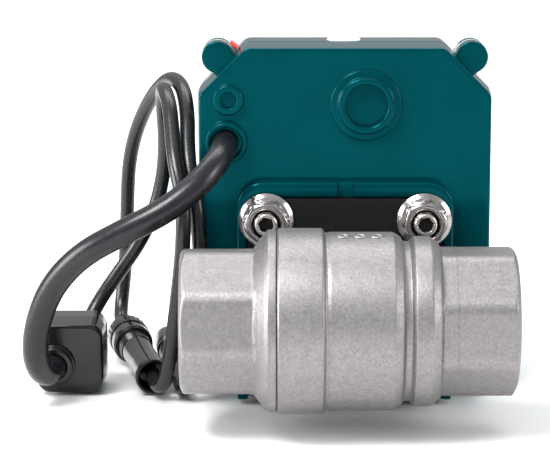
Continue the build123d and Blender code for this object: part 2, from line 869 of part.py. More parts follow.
def make_gears():
    make_compound_gear(
        "gear_3", centre_3,
        (output_depth - 0.4, wheel_3_depth - output_depth + 0.4, coarse_module, pinion_teeth,
         turn_3_pinion),
        (wheel_3_depth, 2.0, fine_module, wheel_3_teeth, turn_3_wheel),
    )
    make_compound_gear(
        "gear_2", centre_2,
        (wheel_3_depth - 0.2, wheel_2_depth - wheel_3_depth + 0.2, fine_module, pinion_teeth,
         turn_2_pinion),
        (wheel_2_depth, 1.6, fine_module, wheel_teeth, turn_2_wheel),
    )
    make_compound_gear(
        "gear_1", centre_1,
        (wheel_2_depth - 0.2, wheel_1_depth - wheel_2_depth + 0.2, fine_module, pinion_teeth,
         turn_1_pinion),
        (wheel_1_depth, 1.4, fine_module, wheel_teeth, turn_1_wheel),
    )


def make_arbors():
    """Three headed pins riveted into the gear plate; the heads carry the compound gears."""
    starts = {centre_3: output_depth - 0.5, centre_2: wheel_3_depth - 0.3, centre_1: wheel_2_depth - 0.3}
    back = gear_plate_depth + gear_plate_thickness
    with BuildPart() as gear_arbors:
        for place, front in starts.items():
            turn_stem(
                [(0, front - 0.6), (1.7, front - 0.6), (1.7, front), (arbor_radius, front),
                 (arbor_radius, back), (0, back)],
                place,
            )
    save("gear_arbors", gear_arbors.part)


def make_gear_plate():
    with BuildPart() as gear_plate:
        with BuildSketch(across(gear_plate_depth)):
            Polygon((-20.2, -11.4), (20.2, -11.4), (22, -9.6), (22, 30), (17, 35), (-6, 35),
                    (-12, 40.8), (-17, 40.8), (-18.6, 38), (-18.6, 35), (-14, 30), (-22, 20),
                    (-22, -9.6), align=None)
            Circle(top_journal_radius + running + 1.2, mode=Mode.SUBTRACT)
            with Locations(*pillar_places()):
                Circle(frame_screw_radius + slip, mode=Mode.SUBTRACT)
            with Locations(centre_3, centre_2, centre_1):
                Circle(arbor_radius, mode=Mode.SUBTRACT)
            with Locations(centre_motor):
                Circle(2.6, mode=Mode.SUBTRACT)
        extrude(amount=-gear_plate_thickness)
    save("gear_plate", gear_plate.part)


def make_motor():
    """Round can motor: case, end cap with two pins, magnets, and the turning armature."""
    back = motor_depth + motor_length
    shell = 0.8
    with BuildPart() as motor_case:
        disc(motor_depth, motor_radius, motor_length - 1.2, centre_motor)
        disc(motor_depth + shell, motor_radius - shell, motor_length, centre_motor, mode=Mode.SUBTRACT)
        disc(motor_depth - 1, 1.0 + running, 3, centre_motor, mode=Mode.SUBTRACT)
    save("motor_case", motor_case.part)
    pins = motor_pin_places()
    with BuildPart() as motor_end_cap:
        disc(back - 1.2, motor_radius, 1.2, centre_motor)
        disc(back - 1.8, motor_radius - shell - slip, 0.6, centre_motor)
        disc(back - 3, 1.0 + running, 4, centre_motor, mode=Mode.SUBTRACT)
        with BuildSketch(*[across(back - 3, pin) for pin in pins]):
            Circle(0.45)
        extrude(amount=-4, mode=Mode.SUBTRACT)
    save("motor_end_cap", motor_end_cap.part)
    with BuildPart() as motor_pins:
        with BuildSketch(*[across(back - 1.8, pin) for pin in pins]):
            Circle(0.45)
        extrude(amount=-(board_depth + board_thickness + 0.6 - back + 1.8))
    save("motor_pins", motor_pins.part)
    with BuildPart() as motor_magnets:
        with BuildSketch(across(motor_depth + 2.2, centre_motor)):
            Circle(motor_radius - shell)
            Circle(motor_radius - shell - 1.7, mode=Mode.SUBTRACT)
            Rectangle(2.4, 3 * motor_radius, mode=Mode.SUBTRACT)
        extrude(amount=-(motor_length - 6.0))
    save("motor_magnets", motor_magnets.part)
    with BuildPart() as motor_rotor:
        turn_stem(
            [(0, motor_depth + 0.1), (1.0, motor_depth + 0.1), (1.0, motor_depth + 2.0),
             (2.2, motor_depth + 2.0), (2.2, motor_depth + 2.6), (4.7, motor_depth + 2.6),
             (4.7, back - 5.0), (2.2, back - 5.0), (2.2, back - 2.3), (1.0, back - 2.3),
             (1.0, wheel_1_depth + 2.0), (0, wheel_1_depth + 2.0)],
            centre_motor,
        )
        with BuildSketch(across(motor_depth + 1, centre_motor)):
            with PolarLocations(4.7, 3):
                Rectangle(3.0, 0.9)
        extrude(amount=-(motor_length - 6.3), mode=Mode.SUBTRACT)
    save("motor_rotor", motor_rotor.part)
    with BuildPart() as motor_pinion:
        gear(wheel_1_depth - 0.5, 2.4, fine_module, pinion_teeth, turn_motor, centre_motor)
        disc(wheel_1_depth - 1, 1.0, 4, centre_motor, mode=Mode.SUBTRACT)
    save("motor_pinion", motor_pinion.part)


# ---- electrics inside the case ----
def make_circuit_board():
    """The board, its copper position track, its parts, and the hardware that stacks it."""
    back = board_depth + board_thickness
    with BuildPart() as circuit_board:
        with BuildSketch(across(board_depth)):
            crown_outline(wall + crown_draft + 0.8)
            Circle(top_journal_radius + 1.0, mode=Mode.SUBTRACT)
            with Locations(*pillar_places()):
                Circle(frame_screw_radius + slip, mode=Mode.SUBTRACT)
            with Locations((gland_x + 1.6, gland_z)):
                Rectangle(5.0, 5.0, mode=Mode.SUBTRACT)
            with Locations(*motor_pin_places()):
                Circle(0.45 + running, mode=Mode.SUBTRACT)
        extrude(amount=-board_thickness)
    save("circuit_board", circuit_board.part)
    ring_on_stem("position_track", back, 0.15, 9.0, 6.0)
    with BuildPart() as terminal_block:
        with BuildSketch(across(back, (-12.5, 30.0))):
            Rectangle(9.0, 7.0)
        extrude(amount=-6.0)
        with BuildSketch(*[across(back + 2.5, (-12.5 + step, 30.0)) for step in (-2.8, 0.0, 2.8)]):
            Circle(1.0)
        extrude(amount=-5.0, mode=Mode.SUBTRACT)
    save("terminal_block", terminal_block.part)
    with BuildPart() as capacitor:
        disc(back, 3.1, 6.6, (15.5, 30.0))
    save("capacitor", capacitor.part)
    with BuildPart() as driver_chip:
        with BuildSketch(across(back, (2.0, 28.0))):
            Rectangle(8.0, 5.2)
        extrude(amount=-1.6)
    save("driver_chip", driver_chip.part)
    with BuildPart() as board_spacers:
        with BuildSketch(*[across(gear_plate_depth + gear_plate_thickness, p) for p in pillar_places()]):
            Circle(2.3)
            Circle(frame_screw_radius + slip, mode=Mode.SUBTRACT)
        extrude(amount=-(board_depth - gear_plate_depth - gear_plate_thickness))
    save("board_spacers", board_spacers.part)
    with BuildPart() as frame_screws:
        for place in pillar_places():
            turn_stem(
                [(0, gear_plate_depth - 6.5), (frame_screw_radius, gear_plate_depth - 6.5),
                 (frame_screw_radius, back), (1.9, back), (1.9, back + 1.4), (0, back + 1.4)],
                place,
            )
        with BuildSketch(*[across(back + 0.6, place) for place in pillar_places()]):
            Rectangle(4.0, 0.5)
        extrude(amount=-2, mode=Mode.SUBTRACT)
    save("frame_screws", frame_screws.part)


def motor_pin_places():
    x, z = centre_motor
    return [(x - 3.5, z + motor_pin_rise), (x + 3.5, z + motor_pin_rise)]


def make_wiper_and_pointer():
    """Sprung contact disc over the board's track, and the coloured pointer under the window."""
    back = board_depth + board_thickness
    with BuildPart() as position_wiper:
        disc(back + 1.6, 8.6, 1.0)
        with BuildSketch(across(back + 0.45)):
            with Locations((7.5, 0), (-7.5, 0)):
                Circle(0.8)
        extrude(amount=-1.4)
        disc(back, top_journal_radius, 4, mode=Mode.SUBTRACT)
    save("position_wiper", position_wiper.part)
    with BuildPart() as indicator_pointer:
        disc(pointer_depth, 3.4, pointer_face - pointer_depth)
        disc(pointer_face, window_hole - 0.7, 0.9)
        with BuildSketch(across(pointer_face + 0.9)):
            Polygon((-6.6, -1.0), (3.2, -1.0), (3.2, -2.6), (7.0, 0), (3.2, 2.6), (3.2, 1.0),
                    (-6.6, 1.0), align=None)
        extrude(amount=-0.5)
        disc(pointer_depth, 1.8, 3.0, mode=Mode.SUBTRACT)
    save("indicator_pointer", indicator_pointer.part)


# ---- cables ----
def cord(points, radius):
    """A round cord along straight runs joined by arcs as large as their runs allow."""
    nodes = [Vector(*point) for point in points]
    radii = []
    for before, corner, after in zip(nodes, nodes[1:], nodes[2:]):
        turn = radians((corner - before).get_angle(after - corner))
        shorter = min((corner - before).length, (after - corner).length)
        radii.append(0.45 * shorter / tan(turn / 2))
    with BuildPart() as part:
        with BuildLine() as path:
            FilletPolyline(*nodes, radius=radii)
        with BuildSketch(Plane(origin=path.line @ 0, z_dir=path.line % 0)):
            Circle(radius)
        sweep()
    length = path.wires()[0].length
    print("  radii", [round(value, 1) for value in radii])
    volume_ratio = part.part.volume / (pi * radius ** 2 * length)
    print("  length", round(length, 1), "volume ratio", round(volume_ratio, 4))
    return part.part


def stack(start, direction, rings, mode=Mode.ADD):
    """Coaxial round steps along a direction: each ring is (from, to, radius)."""
    heading = Vector(*direction).normalized()
    for begin, end, radius in rings:
        with BuildSketch(Plane(origin=Vector(*start) + heading * begin, z_dir=heading)) as face:
            Circle(radius)
        extrude(face.sketch, amount=end - begin, mode=mode)


# Routes are in the object's own frame; each starts in the piece that the cable leaves.
main_cable_route = [
    (-22.9, 3.8, 51.0), (-22.9, -3.8, 51.0), (-24.1, -11.2, 49.1), (-27.8, -16.2, 45.2),
    (-34.0, -18.8, 40.6), (-41.8, -19.0, 36.7), (-49.8, -17.0, 32.1), (-55.8, -14.0, 25.4),
    (-58.9, -12.6, 17.7), (-59.6, -11.2, 11.1), (-58.6, -8.2, 6.9), (-57.0, -4.6, 6.1),
    (-57.0, -0.8, 6.1),
]
inner_lead_route = [
    (-52.5, 14.6, 8.0), (-52.5, 19.0, 8.0), (-51.3, 23.0, 11.2), (-48.6, 25.0, 15.6),
    (-45.0, 25.6, 20.6), (-41.3, 25.4, 26.0), (-38.2, 25.2, 32.4), (-36.3, 24.8, 39.6),
    (-35.7, 24.0, 47.0), (-36.0, 21.8, 53.6), (-36.0, 17.2, 58.8), (-35.2, 11.4, 59.4),
    (-34.0, 6.0, 56.8), (-33.4, 1.4, 52.0), (-32.7, -3.4, 47.0), (-31.2, -6.6, 41.0),
    (-31.0, -7.8, 34.6), (-31.5, -6.8, 28.0), (-32.3, -5.6, 21.4), (-33.1, -4.8, 14.6),
    (-34.1, -4.6, 8.2), (-35.0, -3.4, 3.8), (-36.4, -1.2, 2.4), (-37.4, 1.8, 3.0),
    (-37.8, 4.4, 3.6),
]
outer_lead_route = [
    (-45.4, 38.1, 4.6), (-46.3, 42.0, 4.8), (-46.7, 46.0, 7.0), (-46.2, 48.2, 11.8),
    (-45.6, 48.0, 18.2), (-45.2, 46.8, 25.0), (-44.9, 45.2, 32.2), (-44.4, 42.8, 39.2),
    (-43.0, 39.6, 45.8), (-40.6, 35.2, 52.0), (-37.4, 28.8, 57.6), (-34.2, 20.8, 60.9),
    (-31.6, 13.0, 59.8), (-30.6, 6.4, 55.2), (-30.5, 2.2, 50.6), (-30.1, -1.6, 46.0),
    (-28.7, -4.2, 39.6), (-28.0, -5.0, 32.2), (-27.7, -5.3, 24.6), (-27.8, -5.3, 17.0),
    (-28.3, -5.2, 10.2), (-29.6, -4.6, 4.8), (-31.2, -1.6, 1.9), (-32.1, 2.6, 1.6),
    (-32.7, 7.2, 2.0), (-33.3, 11.4, 2.8), (-33.8, 15.0, 3.1),
]
box_low = (-60.9, 1.6, 0.0)
box_size = (13.8, 13.0, 14.6)
connector_mouth = (-37.5, 1.6, 3.6)
connector_axis = (-7.9, 36.3, 1.1)
connector_ring_start = 25.0
connector_ring_length = 8.0
plug_mouth = (-33.75, 14.0, 3.05)
plug_axis = (-2.3, 22.0, 0.1)


def make_cable_chain():
    """Cable from the gland to the junction box, then two thin leads and two round connectors."""
    with BuildPart() as cable_grommet:
        disc(face_depth + 2.4, gland_hole - running, 5.0, (gland_x, gland_z))
        disc(face_depth + 2.4, cable_radius + running, 5.0, (gland_x, gland_z), mode=Mode.SUBTRACT)
    save("cable_grommet", cable_grommet.part)
    save("main_cable", cord(main_cable_route, cable_radius))
    save("inner_lead", cord(inner_lead_route, lead_radius))
    save("outer_lead", cord(outer_lead_route, lead_radius))


def make_junction_box():
    centre_x = box_low[0] + box_size[0] / 2
    gland_centre = main_cable_route[-1]
    with BuildPart() as junction_box:
        with BuildSketch(Plane(origin=(centre_x, box_low[1], box_size[2] / 2), x_dir=(1, 0, 0),
                               z_dir=(0, -1, 0))):
            RectangleRounded(box_size[0], box_size[2], 2.4)
        extrude(amount=-box_size[1])
        fillet(junction_box.faces().filter_by(Axis.Y).edges(), 1.0)
    save("junction_box", junction_box.part)
    with BuildPart() as junction_gland:
        stack((gland_centre[0], box_low[1], gland_centre[2]), (0, -1, 0),
              [(0, 0.9, 3.8), (0.9, 1.5, 3.3), (1.5, 2.4, 3.6)])
    save("junction_gland", junction_gland.part)


def make_connectors():
    ring_end = connector_ring_start + connector_ring_length
    with BuildPart() as connector_shell:
        stack(connector_mouth, connector_axis,
              [(0, 1.2, 3.5), (1.2, 7.0, 3.4), (7.0, 20.0, 3.1), (20.0, 20.6, 3.35), (20.6, 21.4, 3.1),
               (21.4, 22.0, 3.35), (22.0, 22.8, 3.1), (22.8, 23.4, 3.35), (23.4, 24.2, 3.1),
               (24.2, connector_ring_start - 0.3, 3.9),
               (connector_ring_start - 0.3, ring_end + 0.3, 2.6), (ring_end + 0.3, ring_end + 1.6, 3.9),
               (ring_end + 1.6, ring_end + 4.3, 2.6)])
        stack(connector_mouth, connector_axis, [(-1, 3.3, 2.9)], mode=Mode.SUBTRACT)
    save("connector_shell", connector_shell.part)
    with BuildPart() as connector_ring:
        stack(connector_mouth, connector_axis,
              [(connector_ring_start, connector_ring_start + 3.2, 4.1),
               (connector_ring_start + 3.2, connector_ring_start + 4.0, 3.8),
               (connector_ring_start + 4.0, ring_end, 4.3)])
        stack(connector_mouth, connector_axis, [(connector_ring_start - 1, ring_end + 1, 2.9)],
              mode=Mode.SUBTRACT)
    save("connector_ring", connector_ring.part)
    with BuildPart() as plug_shell:
        stack(plug_mouth, plug_axis,
              [(0, 1.0, 2.9), (1.0, 12.0, 2.6), (12.0, 13.0, 2.9), (13.0, 14.0, 2.6), (14.0, 22.0, 2.9)])
        stack(plug_mouth, plug_axis, [(-1, 1.4, 2.2)], mode=Mode.SUBTRACT)
    save("plug_shell", plug_shell.part)
    with BuildPart() as plug_pins:
        sideways = Vector(0, 0, 1).cross(Vector(*plug_axis)).normalized()
        for side in (-1.0, 1.0):
            stack(Vector(*plug_mouth) + sideways * side, plug_axis, [(22.0, 26.0, 0.4)])
    save("plug_pins", plug_pins.part)


def make_inner_wires():
    """Three wires from the cable's end, past the board's notch, to the terminal block's side."""
    cable_end = main_cable_route[0][1] - valve_y
    entry = board_depth + board_thickness + 3.4
    routes = []
    for step in (-1.3, 0.0, 1.3):
        height = stem_z + gland_z + step
        places = [(gland_x, cable_end), (gland_x, 36.0), (-20.7, 45.0), (-20.2, 53.5),
                  (-18.9, entry), (-17.0, entry)]
        routes.append([(x, valve_y + depth, height) for x, depth in places])
    wires = [cord(route, 0.55) for route in routes]
    save("inner_wires", Compound(children=wires))


make_valve_body()
make_end_cap()
make_body_seal()
make_valve_ball()
make_seat("seat_left", -1)
make_seat("seat_right", 1)
make_valve_stem()
make_stem_seals()
make_adapter_plate()
make_adapter_screws()
make_mounting_studs()
make_flange_nuts()
make_base_housing()
make_cover_gasket()
make_cover()
make_status_lens()
make_cover_screws()
make_window()
make_seal_dab()
make_output_shaft()
make_bushes()
make_output_gear()
make_gears()
make_arbors()
make_gear_plate()
make_motor()
make_circuit_board()
make_wiper_and_pointer()
make_cable_chain()
make_junction_box()
make_connectors()
make_inner_wires()
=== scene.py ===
import math
import bmesh
import bpy
import numpy as np
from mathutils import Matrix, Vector


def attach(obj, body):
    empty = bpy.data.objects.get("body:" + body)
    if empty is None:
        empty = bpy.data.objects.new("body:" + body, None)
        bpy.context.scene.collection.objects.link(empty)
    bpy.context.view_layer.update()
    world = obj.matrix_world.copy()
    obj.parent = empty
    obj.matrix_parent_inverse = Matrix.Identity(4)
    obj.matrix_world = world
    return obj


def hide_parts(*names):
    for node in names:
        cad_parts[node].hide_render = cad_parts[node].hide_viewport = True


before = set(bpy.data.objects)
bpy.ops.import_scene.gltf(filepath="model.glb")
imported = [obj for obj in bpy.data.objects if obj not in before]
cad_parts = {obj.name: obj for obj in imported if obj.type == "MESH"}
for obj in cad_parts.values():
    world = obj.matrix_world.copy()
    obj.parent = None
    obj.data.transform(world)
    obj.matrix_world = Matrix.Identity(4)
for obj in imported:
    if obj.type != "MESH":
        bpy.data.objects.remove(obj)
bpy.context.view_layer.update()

# Motorised ball valve. X runs along the flow, Y from the valve to the actuator's window, Z up.
# Sizes are written in millimetres, and a "depth" is a distance along +Y from the flow axis.


# ---- Valve body ----
# Half of a two-piece DN15 valve: investment-cast stainless steel, blasted, with a turned ring at
# the seam, a collar and an octagonal wrench end. The half-inch thread is cut into its right end.
def finish(name, dark, light, metallic, rough, grain, height, drift=6.0, coat=0.0, **more):
    """A Principled surface. Its colour runs from dark to light on noise drift mm wide, its
    roughness from rough[0] to rough[1] on noise grain mm wide, and the same noise lifts it
    by height mm."""
    made = bpy.data.materials.new(name)
    made.use_nodes = True
    nodes, links = made.node_tree.nodes, made.node_tree.links
    shader = nodes["Principled BSDF"]
    place = nodes.new("ShaderNodeTexCoord")
    broad = nodes.new("ShaderNodeTexNoise")
    broad.inputs["Scale"].default_value = 1000 / drift
    broad.inputs["Detail"].default_value = 5.0
    fine = nodes.new("ShaderNodeTexNoise")
    fine.inputs["Scale"].default_value = 1000 / grain
    fine.inputs["Detail"].default_value = 4.0
    tint = nodes.new("ShaderNodeValToRGB")
    tint.color_ramp.elements[0].position = 0.32
    tint.color_ramp.elements[0].color = (*dark, 1.0)
    tint.color_ramp.elements[1].position = 0.68
    tint.color_ramp.elements[1].color = (*light, 1.0)
    spread = nodes.new("ShaderNodeMapRange")
    spread.inputs["From Min"].default_value = 0.3
    spread.inputs["From Max"].default_value = 0.7
    spread.inputs["To Min"].default_value = rough[0]
    spread.inputs["To Max"].default_value = rough[1]
    bump = nodes.new("ShaderNodeBump")
    bump.inputs["Distance"].default_value = height / 1000
    links.new(place.outputs["Object"], broad.inputs["Vector"])
    links.new(place.outputs["Object"], fine.inputs["Vector"])
    links.new(broad.outputs["Fac"], tint.inputs["Fac"])
    links.new(tint.outputs["Color"], shader.inputs["Base Color"])
    links.new(fine.outputs["Fac"], spread.inputs["Value"])
    links.new(spread.outputs["Result"], shader.inputs["Roughness"])
    links.new(fine.outputs["Fac"], bump.inputs["Height"])
    links.new(bump.outputs["Normal"], shader.inputs["Normal"])
    shader.inputs["Metallic"].default_value = metallic
    shader.inputs["Coat Weight"].default_value = coat
    shader.inputs["Coat Roughness"].default_value = 0.12
    for socket, value in more.items():
        shader.inputs[socket.replace("_", " ")].default_value = value
    return made


def skin(name, sheets, material):
    """Joins sheets of points in mm into one mesh in metres. A sheet is (points, closed): points
    is (rows, columns, 3), its columns always run round, and its rows do so where closed is true.
    A row drawn in to one point closes an end, and points that coincide are merged."""
    corners, faces, start = [], [], 0
    for points, closed in sheets:
        rows, columns = points.shape[:2]
        ids = start + np.arange(rows * columns).reshape(rows, columns)
        upper = np.roll(ids, -1, 0) if closed else ids[1:]
        lower = ids if closed else ids[:-1]
        quads = np.stack([lower, np.roll(lower, -1, 1), np.roll(upper, -1, 1), upper], -1)
        corners.append(points.reshape(-1, 3) / 1000)
        faces.append(quads.reshape(-1, 4))
        start += rows * columns
    mesh = bpy.data.meshes.new(name)
    mesh.from_pydata(np.concatenate(corners).tolist(), [], np.concatenate(faces).tolist())
    work = bmesh.new()
    work.from_mesh(mesh)
    bmesh.ops.remove_doubles(work, verts=work.verts, dist=1e-6)
    bmesh.ops.dissolve_degenerate(work, edges=work.edges, dist=1e-7)
    bmesh.ops.recalc_face_normals(work, faces=work.faces)
    work.to_mesh(mesh)
    work.free()
    mesh.shade_smooth()
    mesh.set_sharp_from_angle(angle=math.radians(38))
    mesh.materials.append(material)
    made = bpy.data.objects.new(name, mesh)
    bpy.context.collection.objects.link(made)
    return made


def bend(points, radius, steps=6):
    """Rounds the inner corners of an open line of 2-D points. Each becomes a parabola that touches
    both sides where an arc of that radius would (one number, or one for each corner), or nearer
    where half the shorter side is less."""
    points = np.asarray(points, float)
    radius = np.broadcast_to(radius, len(points) - 2)
    line = [points[:1]]
    for before, corner, after, size in zip(points, points[1:], points[2:], radius):
        back, on = before - corner, after - corner
        reach = min(np.linalg.norm(back), np.linalg.norm(on))
        back, on = back / np.linalg.norm(back), on / np.linalg.norm(on)
        half = 0.5 * np.arccos(np.clip(back @ on, -1, 1))
        cut = min(size / max(np.tan(half), 1e-6), 0.49 * reach)
        t = np.linspace(0, 1, steps)[:, None]
        start, end = corner + back * cut, corner + on * cut
        line.append((1 - t) ** 2 * start + 2 * t * (1 - t) * corner + t ** 2 * end)
    line.append(points[-1:])
    return np.concatenate(line)


def soft_less(a, b, width):
    """The smaller of a and b, with the crease between them rounded over a width."""
    return (a + b - np.sqrt((a - b) ** 2 + width ** 2)) / 2


def soft_more(a, b, width):
    """The larger of a and b, with the crease between them rounded over a width."""
    return (a + b + np.sqrt((a - b) ** 2 + width ** 2)) / 2


def round_flow(x, radius, angle):
    """Points at a place x on the flow axis, at a radius and an angle about it."""
    return np.stack(
        [np.broadcast_to(x, radius.shape), radius * np.cos(angle) - 25.4, radius * np.sin(angle) + 21.2], -1
    )


def wrench_end(x, ring, angle, turn, end):
    """Radius of a ring profile joined to an octagon 26.4 over its flats whose corners are turned
    to 13.95 and whose rim is rounded off over the last 1.4 mm before |x| = end."""
    sector = (angle - turn + np.pi / 8) % (np.pi / 4) - np.pi / 8
    octagon = soft_less(13.2 / np.cos(sector), 13.95 + 0 * sector, 0.16)
    left = np.clip((np.abs(x) - (end - 1.4)) / 1.4, 0, 1)
    octagon = soft_less(octagon, 14.2 - 1.9 * left ** 2, 0.2)
    return soft_more(ring, octagon, 0.35)


def thread(x, angle, radius, height, pitch):
    """Radius of a right-hand thread: a rounded ridge that moves one pitch along x in one turn."""
    phase = x / pitch + angle / (2 * np.pi)
    return radius + height * np.clip(0.9 * np.sin(2 * np.pi * phase), -0.75, 0.75)


cast = finish("cast_stainless", (0.232, 0.221, 0.22), (0.262, 0.251, 0.248), 1.0, (0.42, 0.6), 0.42, 0.026, 1.6)
nodes, links = cast.node_tree.nodes, cast.node_tree.links
place = nodes["Texture Coordinate"]
pit = nodes.new("ShaderNodeTexVoronoi")
pit.inputs["Scale"].default_value = 420
pit_size = nodes.new("ShaderNodeTexNoise")
pit_size.inputs["Scale"].default_value = 350
pit_depth = nodes.new("ShaderNodeMapRange")
pit_depth.inputs["From Min"].default_value = 0.05
pit_depth.inputs["From Max"].default_value = 0.16
pit_gate = nodes.new("ShaderNodeMath")
pit_gate.operation = "GREATER_THAN"
pit_gate.inputs[1].default_value = 0.62
pit_mask = nodes.new("ShaderNodeMath")
pit_mask.operation = "MAXIMUM"
pit_not = nodes.new("ShaderNodeMath")
pit_not.operation = "SUBTRACT"
pit_not.inputs[0].default_value = 1.0
dark_pit = nodes.new("ShaderNodeMix")
dark_pit.data_type = "RGBA"
dark_pit.inputs["A"].default_value = (0.16, 0.15, 0.15, 1)
links.new(place.outputs["Object"], pit.inputs["Vector"])
links.new(place.outputs["Object"], pit_size.inputs["Vector"])
links.new(pit.outputs["Distance"], pit_depth.inputs["Value"])
links.new(pit_size.outputs["Fac"], pit_gate.inputs[0])
links.new(pit_gate.outputs[0], pit_not.inputs[1])
links.new(pit_not.outputs[0], pit_mask.inputs[0])
links.new(pit_depth.outputs["Result"], pit_mask.inputs[1])
links.new(pit_mask.outputs[0], dark_pit.inputs["Factor"])
links.new(nodes["Color Ramp"].outputs["Color"], dark_pit.inputs["B"])
sand = nodes.new("ShaderNodeTexNoise")
sand.inputs["Scale"].default_value = 2100
sand.inputs["Detail"].default_value = 2.0
sand_tone = nodes.new("ShaderNodeMapRange")
sand_tone.inputs["From Min"].default_value = 0.32
sand_tone.inputs["From Max"].default_value = 0.68
sand_tone.inputs["To Min"].default_value = 0.87
sand_tone.inputs["To Max"].default_value = 1.11
sanded = nodes.new("ShaderNodeMix")
sanded.data_type = "RGBA"
sanded.blend_type = "MULTIPLY"
sanded.inputs["Factor"].default_value = 1.0
links.new(place.outputs["Object"], sand.inputs["Vector"])
links.new(sand.outputs["Fac"], sand_tone.inputs["Value"])
links.new(dark_pit.outputs["Result"], sanded.inputs["A"])
links.new(sand_tone.outputs["Result"], sanded.inputs["B"])
links.new(sanded.outputs["Result"], nodes["Principled BSDF"].inputs["Base Color"])

angle = np.linspace(0, 2 * np.pi, 288, endpoint=False)[None, :]
ring = bend(
    [(-13.08, 16.9), (-12.8, 17.2), (-4.8, 17.2), (-4.2, 16.25), (-3.4, 16.5), (8.2, 16.5), (9.6, 15.7),
     (10.1, 14.75), (11.2, 14.75), (12.0, 15.7), (15.0, 15.75), (16.6, 14.6), (17.2, 12.6), (19.5, 12.0),
     (29.4, 12.0)],
    (0.2, 0.5, 0.5, 0.4, 0.5, 1.4, 0.8, 0.4, 0.5, 0.9, 1.6, 1.2, 1.2), 7)
flats = np.column_stack([np.concatenate([np.linspace(19.6, 29.4, 24), np.linspace(29.5, 31, 12)]), np.full(36, 12.0)])
outer = np.concatenate([ring[:-1], flats])
outer_radius = wrench_end(outer[:, :1], outer[:, 1:], angle, 0.0, 31.0)
outer_radius = np.where(outer[:, :1] < 9.0, outer[:, 1:] + 0 * angle, outer_radius)
thread_x = np.linspace(29.6, 18.6, 90)[:, None]
right_thread = thread(thread_x, angle, 9.75, 0.55, 1.814)
inner = np.array([(18.2, 9.3), (17.4, 7.0), (10.1, 7.0), (10.1, 10.85), (8.2, 10.85), (8.2, 12.4), (-7.5, 12.4),
                  (-7.5, 13.4), (-13.08, 13.4), (-13.08, 14.0)])
body_sheet = np.concatenate([
    round_flow(outer[:, :1], outer_radius, angle),
    round_flow(31.0, np.full((1, 288), 11.2), angle),
    round_flow(30.9, np.full((1, 288), 10.9), angle),
    round_flow(thread_x, right_thread, angle),
    round_flow(inner[:, :1], inner[:, 1:] + 0 * angle, angle),
])

# The square pad behind the ring, on which the actuator sits: straight cast sides, rounded corners.
def plan(corners, radius, steps=8):
    """Round-cornered polygon as (centres, directions): a point of its outline drawn in by a
    distance d is centre + direction * (radius - d). Corners are given anticlockwise."""
    corners = np.asarray(corners, float)
    before = corners - np.roll(corners, 1, 0)
    after = np.roll(corners, -1, 0) - corners
    before /= np.linalg.norm(before, axis=1)[:, None]
    after /= np.linalg.norm(after, axis=1)[:, None]
    first = np.arctan2(-before[:, 0], before[:, 1])
    turn = np.arctan2(before[:, 0] * after[:, 1] - before[:, 1] * after[:, 0], (before * after).sum(1))
    inward = (after - before) / np.linalg.norm(after - before, axis=1)[:, None]
    centres = corners + inward * (radius / np.cos(turn / 2))[:, None]
    angles = first[:, None] + turn[:, None] * np.linspace(0, 1, steps)[None, :]
    directions = np.stack([np.cos(angles), np.sin(angles)], -1)
    return np.repeat(centres, steps, 0), directions.reshape(-1, 2)


def stacked(shape, radius, rows, centre=(0.0, 0.0)):
    """Outlines of a plan, one for each (inset, depth): rows of points across the stem's axis."""
    centres, directions = shape
    rows = np.asarray(rows, float)
    flat = centres + directions * (radius - rows[:, :1, None])
    depth = np.broadcast_to(rows[:, 1, None], flat.shape[:2])
    return np.stack([flat[..., 0] + centre[0], depth - 25.4, flat[..., 1] + centre[1] + 21.2], -1)


def to_point(sheet_row, depth, middle=(0.0, 0.0)):
    """A row with every point at one place on the stem's axis, to close a sheet's end."""
    return np.broadcast_to(np.array([middle[0], depth - 25.4, middle[1] + 21.2]), (1, sheet_row.shape[-2], 3))


def round_stem(profile, middle=(0.0, 0.0), count=96, turn=0.0):
    """Turns (radius, depth) points about an axis along the stem through the middle."""
    profile = np.asarray(profile, float)
    t = np.linspace(0, 2 * np.pi, count, endpoint=False)[None, :] + turn
    radius, depth = profile[:, :1], np.broadcast_to(profile[:, 1:], (len(profile), count))
    return np.stack([middle[0] + radius * np.cos(t), depth - 25.4, middle[1] + 21.2 + radius * np.sin(t)], -1)


pad = plan([(-11, -11), (11, -11), (11, 11), (-11, 11)], 3.0, 10)
pad_rows = bend([(0.0, 6.2), (0.0, 20.4), (2.0, 20.4)], 0.5, 6)
pad_sheet = stacked(pad, 3.0, pad_rows)
bearing = np.arctan2(pad_sheet[0, :, 2] - 21.2, pad_sheet[0, :, 0])
stem_hole = np.stack([
    np.stack([r * np.cos(bearing), np.full_like(bearing, d - 25.4), r * np.sin(bearing) + 21.2], -1)
    for r, d in ((6.05, 20.4), (6.05, 14.9), (4.1, 14.9), (4.1, 6.2))])
pad_sheet = np.concatenate([pad_sheet, stem_hole])

# Three plain raised rings cast on top of the body.
lap = np.linspace(0, 2 * np.pi, 40, endpoint=False)[:, None]
tube = np.linspace(0, 2 * np.pi, 10, endpoint=False)[None, :]
marks = []
for mark_x in (-1.0, 2.1, 5.2):
    wide = 0.95 + 0.30 * np.cos(tube)
    high = 0.75 + 0.30 * np.cos(tube)
    bearing = np.radians(98) + high * np.sin(lap) / 16.5
    marks.append((round_flow(mark_x + wide * np.cos(lap), 16.5 + 0.30 * np.sin(tube) + 0 * bearing, bearing), True))

valve_body = skin("valve_body_cast", [(body_sheet, True), (pad_sheet, True), *marks], cast)
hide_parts("valve_body")
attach(valve_body, "frame")

